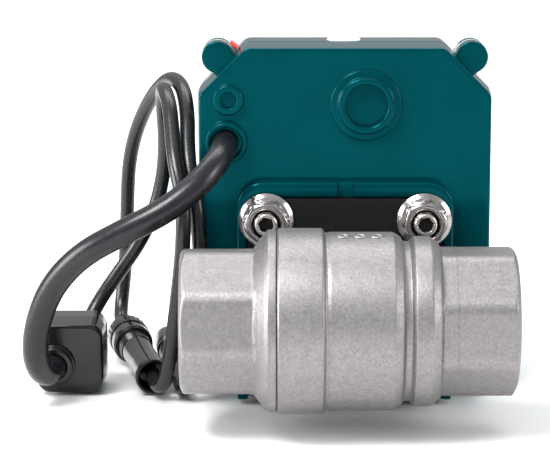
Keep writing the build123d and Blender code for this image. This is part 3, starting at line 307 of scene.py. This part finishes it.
# ---- End cap ----
# The other half of the valve: the same casting and finish, screwed into the body up to its ring.
# A turned cone leads from the ring down to a second octagon, which stopped eight degrees round.
cap_ring = bend(
    [(-13.12, 16.6), (-13.4, 16.9), (-14.8, 16.9), (-15.5, 16.2), (-16.8, 14.5), (-17.7, 12.9), (-19.5, 12.0),
     (-21.5, 12.0)],
    (0.2, 0.3, 0.5, 0.8, 1.2, 1.6), 7)
cap_flats = np.column_stack(
    [np.concatenate([np.linspace(-21.5, -29.4, 18), np.linspace(-29.5, -31, 12)]), np.full(30, 12.0)])
cap_outer = np.concatenate([cap_ring[:-1], cap_flats])
cap_radius = wrench_end(cap_outer[:, :1], cap_outer[:, 1:], angle, math.radians(-8), 31.0)
cap_radius = np.where(cap_outer[:, :1] > -15.4, cap_outer[:, 1:] + 0 * angle, cap_radius)
left_thread = thread(-thread_x, angle, 9.75, 0.55, 1.814)
cap_inner = np.array([(-18.2, 9.3), (-17.4, 7.0), (-10.1, 7.0), (-10.1, 10.85), (-8.35, 10.85), (-8.35, 13.3),
                      (-13.0, 13.3), (-13.12, 13.5)])
cap_sheet = np.concatenate([
    round_flow(cap_outer[:, :1], cap_radius, angle),
    round_flow(-31.0, np.full((1, 288), 11.2), angle),
    round_flow(-30.9, np.full((1, 288), 10.9), angle),
    round_flow(-thread_x, left_thread, angle),
    round_flow(cap_inner[:, :1], cap_inner[:, 1:] + 0 * angle, angle),
])
end_cap = skin("end_cap_cast", [(cap_sheet, True)], cast)
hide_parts("end_cap")
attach(end_cap, "frame")

# ---- Flange nuts ----
# Four M5 hexagon nuts with a round flange, cold-formed stainless steel, tumbled bright. Each is
# run down on its stud with a spanner and stops at its own angle.
bright = finish("bright_stainless", (0.25, 0.235, 0.235), (0.36, 0.34, 0.335), 1.0, (0.16, 0.27), 0.7, 0.002, 3.0)
stud_spots = [(-15.2, 15.2, 32.5), (15.2, 15.2, 44.0), (-15.2, -15.2, 55.0), (15.2, -15.2, 20.0)]
nut_turn = np.linspace(0, 2 * np.pi, 144, endpoint=False)[None, :]
nut_sheets = []
for nut_x, nut_z, turned in stud_spots:
    sector = (nut_turn - math.radians(turned) + np.pi / 6) % (np.pi / 3) - np.pi / 6
    hexagon = soft_less(3.85 / np.cos(sector), 4.42 + 0 * sector, 0.03)
    side = np.array([19.0, 18.4, 17.6, 16.8, 16.4, 16.2, 16.05, 15.9, 15.8, 15.7, 15.6, 15.5, 15.42])[:, None]
    crown = 4.5 - 0.75 * np.clip((15.95 - side) / 0.53, 0, 1)
    hex_radius = soft_less(hexagon, crown + 0 * hexagon, 0.03)
    skirt = bend([(5.1, 20.4), (5.3, 20.3), (5.3, 19.9), (4.5, 19.25), (4.05, 19.1)], 0.2, 5)
    skirt_radius = soft_more(skirt[:, :1], np.where(skirt[:, 1:] < 19.6, hexagon, 0 * hexagon), 0.05)
    eye = np.array([(3.12, 15.40), (3.04, 15.42), (2.68, 15.85), (2.66, 19.9), (3.2, 20.4)])
    radius = np.concatenate([skirt_radius, hex_radius, eye[:, :1] + 0 * hexagon])
    depth = np.concatenate([skirt[:, 1:], side, eye[:, 1:]]) + 0 * nut_turn
    nut_sheets.append((np.stack([nut_x + radius * np.cos(nut_turn), depth - 25.4,
                                 nut_z + 21.2 + radius * np.sin(nut_turn)], -1), True))
flange_nuts = skin("flange_nuts_bright", nut_sheets, bright)
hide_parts("flange_nuts")
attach(flange_nuts, "frame")

# ---- Mounting studs ----
# M5 set screws, stainless steel, rolled thread, with a hexagon socket in the end. They are run
# into the case from the front and their ends stand just proud of the nuts.
stud_sheets = []
for stud_x, stud_z, turned in stud_spots:
    socket_sector = (nut_turn - math.radians(turned * 2 + 11) + np.pi / 6) % (np.pi / 3) - np.pi / 6
    socket = 1.25 / np.cos(socket_sector)
    along = np.linspace(31.2, 15.6, 130)[:, None]
    shank = thread(along, nut_turn, 2.26, 0.16, 0.8)
    face = np.array([(2.2, 15.2), (2.12, 15.0), (1.96, 14.84), (1.86, 14.8), (1.6, 14.8)])
    radius = np.concatenate([0 * nut_turn, shank, face[:, :1] + 0 * nut_turn, socket + 0.12, socket, socket, 0 * nut_turn])
    depth = np.concatenate([[[31.3]], along, face[:, 1:], [[14.83], [15.0], [17.2], [17.7]]]) + 0 * nut_turn
    stud_sheets.append((np.stack([stud_x + radius * np.cos(nut_turn), depth - 25.4,
                                  stud_z + 21.2 + radius * np.sin(nut_turn)], -1), False))
studs = skin("mounting_studs_threaded", stud_sheets, finish(
    "stud_steel", (0.42, 0.40, 0.38), (0.58, 0.55, 0.53), 1.0, (0.2, 0.34), 0.5, 0.006, 2.0))
# The socket's walls and floor are painted near black, as painted shade for the dark deep inside the hole.
studs.data.materials.append(finish(
    "socket_painted_shade", (0.012, 0.011, 0.011), (0.045, 0.042, 0.04), 0.6, (0.35, 0.6), 0.4, 0.01, 1.0))
centres = np.empty(3 * len(studs.data.polygons))
studs.data.polygons.foreach_get("center", centres)
centres = centres.reshape(-1, 3) * 1000
near = np.min([np.hypot(centres[:, 0] - x, centres[:, 2] - 21.2 - z) for x, z, turned in stud_spots], axis=0)
# Faces on the socket's walls and floor get the painted shade material.
socket_shade_faces = (near < 1.5) & (centres[:, 1] > 15.3 - 25.4) & (centres[:, 1] < 18.0 - 25.4)
studs.data.polygons.foreach_set("material_index", socket_shade_faces.astype(np.int32))
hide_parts("mounting_studs")
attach(studs, "frame")

# ---- Front housing ----
# The actuator's front shell, injection-moulded glossy teal plastic: an eight-sided tray with a
# blind boss over the motor, a small blind boss, a cable boss, screw lugs and a raised rim.
teal = finish("teal_gloss", (0.0, 0.024, 0.030), (0.0, 0.030, 0.037), 0.0, (0.13, 0.19), 2.2, 0.0015, 14.0,
              Specular_IOR_Level=0.32, Specular_Tint=(0.03, 0.80, 0.92, 1.0))
case_corners = [(28.6, -11.9), (28.6, 39.1), (19.3, 48.4), (-19.3, 48.4), (-28.6, 39.1), (-28.6, -11.9),
                (-19.3, -21.2), (19.3, -21.2)]
case_plan = plan(case_corners, 2.6, 7)
tray_rows = np.concatenate([
    bend([(2.5, 31.5), (0.0, 31.5), (0.0, 31.3)], 0.15, 4), [(0.02, 30.0), (0.4, 25.2)],
    bend([(0.42, 24.9), (0.5, 24.0), (1.9, 24.0), (2.55, 24.0)], 0.75, 9)])
tray_front = stacked(case_plan, 2.6, tray_rows)
tray_back = stacked(case_plan, 2.6, [(2.55, 26.4), (2.5, 31.45)])
tray = np.concatenate([tray_front, to_point(tray_front, 24.0), to_point(tray_front, 26.4), tray_back])

lug_t = np.radians(np.linspace(-118, 118, 45))
lug_line = np.concatenate([[(-6.6, -4.7), (-4.6, -3.6), (-3.1, -2.95), (-2.2, -2.8)],
                           3.1 * np.stack([np.cos(lug_t), np.sin(lug_t)], -1),
                           [(-2.2, 2.8), (-3.1, 2.95), (-4.6, 3.6), (-6.6, 4.7)]])
lug_tangent = np.gradient(lug_line, axis=0)
lug_out = np.stack([lug_tangent[:, 1], -lug_tangent[:, 0]], -1)
lug_out /= np.linalg.norm(lug_out, axis=1)[:, None]
lug_spots = [(24.6, 45.7, 45), (-24.6, 45.7, 135), (-25.2, -17.8, 225), (25.2, -17.8, 315)]


def lugs(rows, front, back):
    """Screw lugs: the outline drawn in by each row's inset, at each depth, at the four corners."""
    sheets = []
    rows = np.asarray(rows, float)
    for x, z, degrees in lug_spots:
        turn = math.radians(degrees)
        flat = lug_line - lug_out * rows[:, :1, None]
        right = flat[..., 0] * math.cos(turn) - flat[..., 1] * math.sin(turn)
        rise = flat[..., 0] * math.sin(turn) + flat[..., 1] * math.cos(turn)
        depth = np.broadcast_to(rows[:, 1, None], right.shape)
        sheet = np.stack([x + right, depth - 25.4, z + rise + 21.2], -1)
        middle = (x - 2 * math.cos(turn), z - 2 * math.sin(turn))
        sheets.append((np.concatenate([to_point(sheet, front, middle), sheet, to_point(sheet, back, middle)]), False))
    return sheets


front_lugs = lugs(np.concatenate([bend([(1.2, 28.1), (0.0, 28.1), (0.0, 31.3)], 0.45, 7), [(0.15, 31.5), (1.0, 31.5)]]),
                  28.1, 31.5)
motor_boss = round_stem(bend(
    [(7.2, 24.4), (6.9, 23.9), (6.85, 23.2), (5.5, 23.2), (5.45, 21.8), (4.1, 21.8), (4.1, 24.3)],
    (0.3, 0.35, 0.25, 0.5, 0.5), 7), (4.006, 36.991))
small_boss = round_stem(bend(
    [(3.3, 24.4), (2.9, 23.6), (2.85, 22.7), (1.6, 22.7), (1.55, 24.3)], (0.3, 0.4, 0.3), 7), (-22.5, 38.0), 72)
cable_boss = round_stem(bend(
    [(4.4, 24.4), (4.0, 23.6), (3.95, 22.0), (3.05, 22.0), (3.05, 24.3)], (0.3, 0.35, 0.4), 7), (-22.9, 29.8), 84)

# The raised rim: three sides of a rounded frame, open at the foot, with a small notch on top.
def frame_path(half, top, corner, foot):
    """Half-round path up the left side, over the top and down the right side, as (x, z)."""
    arc = np.linspace(0, np.pi / 2, 12)[:, None]
    left = np.hstack([-(half - corner) - corner * np.cos(arc), top - corner + corner * np.sin(arc)])
    across = np.array([-4, -1.7, -1.55, -1.3, -1.2, 1.2, 1.3, 1.55, 1.7, 4.0])[:, None]
    over = np.hstack([across, np.full_like(across, top)])
    return np.concatenate([[(-half, foot)], left, over, left[::-1] * (-1, 1), [(half, foot)]])


rim_outer = frame_path(20.8, 22.4, 4.9, -20.4)
rim_inner = frame_path(18.85, 19.5, 2.95, -20.4)
cross = bend([(0.0, 24.4), (0.0, 20.5), (1.0, 20.5), (1.0, 24.4)], 0.45, 7)
cross = np.concatenate([np.column_stack([cross[:, 0], cross[:, 1]])])
share = cross[None, :, :1]
rim_flat = rim_outer[:, None, :] * (1 - share) + rim_inner[:, None, :] * share
in_notch = (np.abs(rim_outer[:, 0]) < 1.4) & (rim_outer[:, 1] > 20)
rim_depth = np.where(in_notch[:, None], np.maximum(cross[None, :, 1], 21.7), cross[None, :, 1])
rim_sheet = np.stack([rim_flat[..., 0], rim_depth - 25.4, rim_flat[..., 1] + 21.2], -1)
rim_ends = rim_sheet.mean(1, keepdims=True)
rim_sheet = np.concatenate([np.repeat(rim_ends[:1], len(cross), 1), rim_sheet, np.repeat(rim_ends[-1:], len(cross), 1)])

housing = skin("front_housing_moulded", [
    (tray, True), *front_lugs, (motor_boss, True), (small_boss, True), (cable_boss, True), (rim_sheet, False)], teal)
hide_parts("base_housing")
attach(housing, "frame")

# ---- Rear cover ----
# The back shell in the same plastic: a skirt that meets the front one, a sloping shoulder and a
# smaller crown that holds the gears, with a round opening for the position window.
crown_corners = [(25.8, -10.4), (25.8, 37.2), (17.4, 45.6), (-17.4, 45.6), (-25.8, 37.2), (-25.8, -10.4),
                 (-17.4, -18.8), (17.4, -18.8)]
crown_plan = plan(crown_corners, 3.6, 7)
skirt_rows = np.concatenate([
    bend([(2.5, 32.0), (0.0, 32.0), (0.0, 32.2)], 0.15, 4), [(0.03, 33.0), (0.25, 40.6)],
    bend([(0.28, 41.2), (0.3, 42.0), (1.6, 42.75)], 0.6, 6), [(2.6, 43.3)]])
crown_rows = np.concatenate([[(0.0, 43.3)], bend([(0.05, 44.5), (0.8, 64.5), (3.2, 64.5)], 1.2, 9), [(3.5, 64.5)]])
skirt_sheet = stacked(case_plan, 2.6, skirt_rows)
crown_sheet = stacked(crown_plan, 3.6, crown_rows)
bearing = np.arctan2(crown_sheet[0, :, 2] - 21.2, crown_sheet[0, :, 0])


def eye_rows(bearing, rows):
    """Circles about the stem's axis whose points lie at the given bearings."""
    rows = np.asarray(rows, float)
    radius = rows[:, :1]
    return np.stack([radius * np.cos(bearing), np.broadcast_to(rows[:, 1:] - 25.4, (len(rows), len(bearing))),
                     radius * np.sin(bearing) + 21.2], -1)


opening = eye_rows(bearing, [(8.8, 64.5), (8.55, 64.4), (8.5, 64.2), (8.5, 62.1)])
crown_inside = stacked(crown_plan, 3.6, [(3.3, 62.1), (2.6, 43.3)])
skirt_inside = stacked(case_plan, 2.6, [(2.55, 41.0), (2.5, 32.1)])
cover_sheet = np.concatenate([skirt_sheet, crown_sheet, opening, crown_inside, skirt_inside])
back_lugs = lugs([(1.0, 32.0), (0.15, 32.0), (0.0, 32.2), (0.0, 34.8), (0.1, 35.15), (0.35, 35.4), (1.2, 35.4)], 32.0, 35.4)
cover = skin("rear_cover_moulded", [(cover_sheet, True), *back_lugs], teal)
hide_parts("cover")
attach(cover, "frame")

# ---- Gasket, lens, sealing paint ----
# A pale rubber gasket is squeezed between the two shells, a milky lens snaps into the top side,
# and a dab of red paint across one joint shows whether the case has been opened.
pale = finish("pale_rubber", (0.62, 0.66, 0.64), (0.74, 0.77, 0.75), 0.0, (0.4, 0.55), 1.2, 0.01, 5.0)
milky = finish("milky_lens", (0.80, 0.83, 0.83), (0.90, 0.92, 0.92), 0.0, (0.15, 0.25), 1.5, 0.004, 3.0,
               Subsurface_Weight=0.3, Subsurface_Scale=0.001)
red = finish("red_paint", (0.55, 0.02, 0.015), (0.75, 0.04, 0.03), 0.0, (0.25, 0.5), 0.5, 0.03, 1.0)
dome = bend([(0.0, 66.8), (3.3, 66.8), (3.35, 69.5), (2.6, 69.98), (0.0, 70.1)], (0.2, 0.3, 2.0), 8)
t = np.linspace(0, 2 * np.pi, 64, endpoint=False)[None, :]
dome_sheet = np.stack([dome[:, :1] * np.cos(t), 37.0 - 25.4 + dome[:, :1] * np.sin(t), dome[:, 1:] + 0 * t], -1)
lens = skin("status_lens_dome", [(dome_sheet, False)], milky)
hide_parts("status_lens")
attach(lens, "frame")
for node, material in (("cover_gasket", pale), ("window_seal", pale), ("seal_dab", red)):
    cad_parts[node].data.materials.clear()
    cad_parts[node].data.materials.append(material)

# ---- Adapter plate and small black mouldings ----
# The plate under the nuts is moulded black nylon with a faint grain; the board's terminal block,
# chip and capacitor are black plastic too.
black_nylon = finish("black_nylon", (0.002, 0.003, 0.0035), (0.004, 0.005, 0.006), 0.0, (0.42, 0.6), 0.5, 0.008, 6.0,
                     Specular_IOR_Level=0.22)
for node in ("adapter_plate", "terminal_block", "driver_chip", "capacitor"):
    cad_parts[node].data.materials.clear()
    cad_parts[node].data.materials.append(black_nylon)

# ---- Window ----
# A clear flanged dome, moulded acrylic, over the position pointer.
acrylic = finish("clear_acrylic", (0.93, 0.97, 0.97), (0.97, 0.99, 0.99), 0.0, (0.02, 0.05), 2.0, 0.002, 9.0,
                 Transmission_Weight=1.0, IOR=1.49)
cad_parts["window"].data.materials.clear()
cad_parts["window"].data.materials.append(acrylic)

# ---- Drive train and inner pieces ----
# Shafts and screws are machined steel, the output gear, motor can and gear plate are plated or
# sintered steel, the quick gears natural nylon, the bushes bronze and the seats white PTFE.
machined = finish("machined_steel", (0.42, 0.42, 0.43), (0.55, 0.55, 0.56), 1.0, (0.2, 0.34), 0.4, 0.004, 3.0)
sintered = finish("plated_steel", (0.45, 0.45, 0.44), (0.58, 0.58, 0.56), 1.0, (0.3, 0.45), 0.3, 0.006, 3.0)
mirror = finish("ground_steel", (0.62, 0.62, 0.62), (0.70, 0.70, 0.70), 1.0, (0.04, 0.09), 0.6, 0.001, 5.0)
nylon = finish("natural_nylon", (0.72, 0.68, 0.58), (0.80, 0.77, 0.68), 0.0, (0.35, 0.5), 0.8, 0.008, 4.0)
ptfe = finish("white_ptfe", (0.80, 0.80, 0.78), (0.88, 0.88, 0.86), 0.0, (0.4, 0.55), 0.9, 0.006, 4.0)
bronze = finish("turned_bronze", (0.42, 0.26, 0.10), (0.56, 0.37, 0.16), 1.0, (0.25, 0.4), 0.4, 0.005, 3.0)
gold = finish("gilt_contact", (0.70, 0.48, 0.16), (0.80, 0.58, 0.24), 1.0, (0.15, 0.28), 0.5, 0.002, 3.0)
ferrite = finish("ferrite", (0.03, 0.03, 0.032), (0.06, 0.06, 0.06), 0.0, (0.5, 0.7), 0.3, 0.02, 2.0)
laminate = finish("green_laminate", (0.004, 0.055, 0.02), (0.008, 0.085, 0.035), 0.0, (0.25, 0.4), 0.6, 0.006, 3.0)
amber = finish("yellow_pointer", (0.72, 0.42, 0.01), (0.82, 0.52, 0.03), 0.0, (0.25, 0.38), 1.0, 0.005, 4.0)
makes = {
    machined: ["valve_stem", "output_shaft", "gear_arbors", "adapter_screws", "cover_screws", "frame_screws",
               "shaft_ring", "motor_rotor"],
    sintered: ["output_gear", "motor_pinion", "gear_plate", "motor_case"],
    mirror: ["valve_ball"],
    nylon: ["gear_1", "gear_2", "gear_3", "position_wiper", "motor_end_cap"],
    ptfe: ["seat_left", "seat_right", "body_seal", "stem_packing", "stem_thrust_washer"],
    bronze: ["front_bush", "upper_bush", "packing_gland", "board_spacers"],
    gold: ["motor_pins", "position_track"],
    ferrite: ["motor_magnets"],
    laminate: ["circuit_board"],
    amber: ["indicator_pointer"],
}
for material, names in makes.items():
    for node in names:
        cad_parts[node].data.materials.clear()
        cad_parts[node].data.materials.append(material)

# ---- Junction box ----
# A solid over-moulded box, satin black plastic with well rounded edges, that joins the cable to
# the two thin leads. A stepped collar grips the cable at its front.
shell_black = finish("satin_black", (0.003, 0.003, 0.003), (0.006, 0.006, 0.006), 0.0, (0.13, 0.22), 1.4, 0.003, 4.0,
                     Specular_IOR_Level=0.34)
box_plan = plan([(-6.9, -7.3), (6.9, -7.3), (6.9, 7.3), (-6.9, 7.3)], 3.2, 10)
box_rows = np.concatenate([
    [(3.1, 27.0)], bend([(2.4, 27.0), (0.35, 27.0), (0.0, 33.0), (0.2, 40.0), (3.0, 40.0)], (1.3, 3.0, 1.3), 10), [(3.1, 40.0)]])
box_sheet = stacked(box_plan, 3.2, box_rows, (-54.0, 7.3 - 21.2))
box_sheet = np.concatenate([to_point(box_sheet, 27.0, (-54.0, -13.9)), box_sheet, to_point(box_sheet, 40.0, (-54.0, -13.9))])
junction_box = skin("junction_box_moulded", [(box_sheet, False)], shell_black)
collar = round_stem(np.concatenate([[(0.0, 28.0)], bend(
    [(4.2, 28.0), (4.1, 26.3), (3.6, 26.2), (3.5, 25.6), (3.75, 25.5), (3.7, 24.7), (2.7, 24.6), (2.45, 24.9)],
    (0.3, 0.2, 0.15, 0.15, 0.25, 0.3), 5), [(0.0, 25.0)]]), (-57.0, 6.1 - 21.2), 72)
junction_gland = skin("junction_collar", [(collar, False)], shell_black)
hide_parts("junction_box")
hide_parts("junction_gland")

# ---- Round connector ----
# A moulded black barrel with an open mouth, grip ribs and a turning coupling ring at its rear.
# The inner lead enters the mouth and the outer lead leaves from the rear.
def round_axis(profile, start, direction, count=72, waves=0, swell=0.0):
    """Turns (radius, along) points about an axis from start along direction. With waves, the
    radius swells by swell that many times round, where a third column says how strongly."""
    profile = np.asarray(profile, float)
    ahead = np.asarray(direction, float)
    ahead = ahead / np.linalg.norm(ahead)
    side = np.cross(ahead, (0.0, 0.0, 1.0))
    side = side / np.linalg.norm(side)
    rise = np.cross(side, ahead)
    t = np.linspace(0, 2 * np.pi, count, endpoint=False)[None, :, None]
    amount = profile[:, 2, None, None] if profile.shape[1] > 2 else 0.0
    radius = profile[:, 0, None, None] + amount * swell * np.cos(waves * t)
    return np.asarray(start) + ahead * profile[:, 1, None, None] + radius * (np.cos(t) * side + np.sin(t) * rise)


barrel_at, barrel_way = (-37.5, 1.6, 3.6), (-7.9, 36.3, 1.1)
barrel = bend(
    [(0.0, 6.0), (2.6, 6.0), (2.75, 0.3), (3.1, 0.0), (3.5, 0.2), (3.5, 1.2), (3.35, 1.5), (3.35, 6.8), (3.1, 7.4),
     (3.1, 19.8), (3.35, 20.0), (3.35, 20.6), (3.1, 20.8), (3.1, 21.2), (3.35, 21.4), (3.35, 22.0), (3.1, 22.2),
     (3.1, 22.6), (3.35, 22.8), (3.35, 23.4), (3.1, 23.6), (3.1, 24.0), (3.9, 24.2), (3.9, 24.7), (2.6, 24.7),
     (2.6, 33.3), (3.9, 33.3), (3.9, 34.6), (2.6, 35.0), (2.3, 37.3), (1.6, 37.3), (0.0, 37.2)],
    0.15, 4)
connector_shell = skin("connector_barrel", [(round_axis(barrel, barrel_at, barrel_way), False)], shell_black)
ring_line = bend(
    [(2.9, 25.0), (4.0, 25.0), (4.1, 25.3), (4.1, 28.1), (3.8, 28.4), (3.8, 28.9), (4.25, 29.1), (4.3, 32.6), (4.0, 33.0),
     (2.9, 33.0)], 0.2, 4)
grip = np.where((ring_line[:, 1] > 29.3) & (ring_line[:, 1] < 32.7) & (ring_line[:, 0] > 3.9), 1.0, 0.0)
coupling = round_axis(np.column_stack([ring_line, grip]), barrel_at, barrel_way, 144, 24, 0.09)
connector_ring = skin("coupling_ring", [(coupling, True)], shell_black)
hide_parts("connector_shell")
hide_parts("connector_ring")
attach(connector_ring, "connector_ring")

# ---- Plug ----
# The slimmer mating plug on the outer lead, moulded black, with two gilt pins in its open end.
plug_at, plug_way = (-33.75, 14.0, 3.05), (-2.3, 22.0, 0.1)
plug = bend(
    [(0.0, 1.6), (1.8, 1.6), (2.0, 0.1), (2.5, 0.0), (2.9, 0.3), (2.9, 1.0), (2.6, 1.2), (2.6, 11.9), (2.9, 12.1), (2.9, 12.9),
     (2.6, 13.1), (2.6, 13.9), (2.9, 14.1), (2.9, 21.8), (2.7, 22.0), (0.0, 22.0)], 0.2, 4)
plug_shell = skin("plug_barrel", [(round_axis(plug, plug_at, plug_way), False)], shell_black)
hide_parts("plug_shell")
plug_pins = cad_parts["plug_pins"]
plug_pins.data.materials.clear()
plug_pins.data.materials.append(gold)
for piece in (junction_box, junction_gland, connector_shell, plug_shell):
    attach(piece, "frame")

# ---- Cable and leads ----
# Flexible PVC: a five-millimetre cable from the case to the junction box, then two thin leads,
# worn a little dull. The wires and the grommet inside the case are the same black.
jacket = finish("black_jacket", (0.005, 0.005, 0.007), (0.010, 0.010, 0.012), 0.0, (0.24, 0.34), 0.8, 0.003, 7.0,
                Specular_IOR_Level=0.34)
grey_jacket = finish("lead_jacket", (0.006, 0.006, 0.007), (0.014, 0.014, 0.015), 0.0, (0.22, 0.32), 0.7, 0.003, 9.0,
                     Specular_IOR_Level=0.36)
for node in ("inner_wires", "cable_grommet"):
    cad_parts[node].data.materials.clear()
    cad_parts[node].data.materials.append(jacket)


def cord_curve(name, route, radius, material):
    """A round cord along a quadratic B-spline held by the route's points, in mm."""
    curve = bpy.data.curves.new(name, "CURVE")
    curve.dimensions = "3D"
    spline = curve.splines.new("NURBS")
    spline.points.add(len(route) - 1)
    held = np.column_stack([np.asarray(route, float) / 1000, np.ones(len(route))])
    spline.points.foreach_set("co", held.ravel())
    spline.order_u = 3
    spline.use_endpoint_u = True
    spline.resolution_u = 12
    curve.bevel_depth = radius / 1000
    curve.bevel_resolution = 8
    curve.use_fill_caps = True
    curve.materials.append(material)
    made = bpy.data.objects.new(name, curve)
    bpy.context.collection.objects.link(made)
    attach(made, "frame")
    return made


main_cable = cord_curve("main_cable_run", [
    (-22.9, 3.8, 51.0), (-22.9, -3.8, 51.0), (-24.1, -11.2, 49.1), (-27.8, -16.2, 45.2),
    (-34.0, -18.8, 40.6), (-41.8, -19.0, 36.7), (-49.8, -17.0, 32.1), (-55.8, -14.0, 25.4),
    (-58.9, -12.6, 17.7), (-59.6, -11.2, 11.1), (-58.6, -8.2, 6.9), (-57.0, -4.6, 6.1),
    (-57.0, -0.8, 6.1)], 2.5, jacket)
inner_lead = cord_curve("inner_lead_run", [
    (-52.5, 14.6, 8.0), (-52.5, 19.0, 8.0), (-51.3, 23.0, 11.2), (-48.6, 25.0, 15.6),
    (-45.0, 25.6, 20.6), (-41.3, 25.4, 26.0), (-38.2, 25.2, 32.4), (-36.3, 24.8, 39.6),
    (-35.7, 24.0, 47.0), (-36.0, 21.8, 53.6), (-36.0, 17.2, 58.8), (-35.2, 11.4, 59.4),
    (-34.0, 6.0, 56.8), (-33.4, 1.4, 52.0), (-32.7, -3.4, 47.0), (-31.2, -6.6, 41.0),
    (-31.0, -7.8, 34.6), (-31.5, -6.8, 28.0), (-32.3, -5.6, 21.4), (-33.1, -4.8, 14.6),
    (-34.1, -4.6, 8.2), (-35.0, -3.4, 3.8), (-36.4, -1.2, 2.4), (-37.4, 1.8, 3.0),
    (-37.8, 4.4, 3.6)], 1.5, grey_jacket)
outer_lead = cord_curve("outer_lead_run", [
    (-45.4, 38.1, 4.6), (-46.3, 42.0, 4.8), (-46.7, 46.0, 7.0), (-46.2, 48.2, 11.8),
    (-45.6, 48.0, 18.2), (-45.2, 46.8, 25.0), (-44.9, 45.2, 32.2), (-44.4, 42.8, 39.2),
    (-43.0, 39.6, 45.8), (-40.6, 35.2, 52.0), (-37.4, 28.8, 57.6), (-34.2, 20.8, 60.9),
    (-31.6, 13.0, 59.8), (-30.6, 6.4, 55.2), (-30.5, 2.2, 50.6), (-30.1, -1.6, 46.0),
    (-28.7, -4.2, 39.6), (-28.0, -5.0, 32.2), (-27.7, -5.3, 24.6), (-27.8, -5.3, 17.0),
    (-28.3, -5.2, 10.2), (-29.6, -4.6, 4.8), (-31.2, -1.6, 1.9), (-32.1, 2.6, 1.6),
    (-32.7, 7.2, 2.0), (-33.3, 11.4, 2.8), (-33.8, 15.0, 3.1)], 1.5, grey_jacket)
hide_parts("main_cable")
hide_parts("inner_lead")
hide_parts("outer_lead")

# ---- Floor, light and camera ----
# A plain pale floor under a bright even studio sky, one broad lamp high on the left and a
# narrower one on the right to draw the long highlights.
floor_mesh = bpy.data.meshes.new("floor")
floor_mesh.from_pydata([(-3, -3, -0.0003), (3, -3, -0.0003), (3, 3, -0.0003), (-3, 3, -0.0003)], [], [(0, 1, 2, 3)])
floor = bpy.data.objects.new("floor", floor_mesh)
floor_mesh.materials.append(finish("pale_floor", (0.84, 0.84, 0.84), (0.86, 0.86, 0.86), 0.0, (0.6, 0.7), 30, 0.0, 200))
bpy.context.collection.objects.link(floor)
world = bpy.data.worlds.new("studio")
bpy.context.scene.world = world
world.use_nodes = True
world.node_tree.nodes["Background"].inputs["Color"].default_value = (0.96, 0.98, 1.0, 1)
world.node_tree.nodes["Background"].inputs["Strength"].default_value = 0.85
world_nodes, world_links = world.node_tree.nodes, world.node_tree.links
sky_place = world_nodes.new("ShaderNodeTexCoord")
sky_split = world_nodes.new("ShaderNodeSeparateXYZ")
sky_rise = world_nodes.new("ShaderNodeMapRange")
sky_rise.inputs["From Min"].default_value = -0.1
sky_rise.inputs["From Max"].default_value = 0.7
sky_rise.inputs["To Min"].default_value = 0.36
sky_rise.inputs["To Max"].default_value = 0.92
world_links.new(sky_place.outputs["Generated"], sky_split.inputs["Vector"])
world_links.new(sky_split.outputs["Z"], sky_rise.inputs["Value"])
world_links.new(sky_rise.outputs["Result"], world_nodes["Background"].inputs["Strength"])
for name, where, aim, size, power in (
        ("key", (-0.30, -0.32, 0.62), (0, 0, 0.05), (0.34, 0.24), 7.5),
        ("left", (-0.75, -0.12, 0.22), (0, 0, 0.03), (0.4, 0.35), 7.0),
        ("right", (0.75, -0.2, 0.3), (0, 0, 0.03), (0.25, 0.4), 3.0),
        ("top", (0.0, 0.35, 0.8), (0, 0.15, 0.0), (0.8, 0.3), 4.0)):
    lamp = bpy.data.lights.new(name, "AREA")
    lamp.shape = "RECTANGLE"
    lamp.size, lamp.size_y = size
    lamp.energy = power
    holder = bpy.data.objects.new(name, lamp)
    holder.location = where
    holder.rotation_euler = (Vector(aim) - Vector(where)).to_track_quat("-Z", "Y").to_euler()
    bpy.context.collection.objects.link(holder)

camera = bpy.data.cameras.new("camera")
camera.lens = 159.05
camera.sensor_width = 36.0
camera_holder = bpy.data.objects.new("camera", camera)
camera_holder.location = (-0.0135, -0.4643, 0.1222)
camera_holder.rotation_euler = (math.radians(79.3), 0.0, 0.0)
bpy.context.collection.objects.link(camera_holder)
bpy.context.scene.camera = camera_holder
bpy.context.scene.view_settings.view_transform = "Standard"
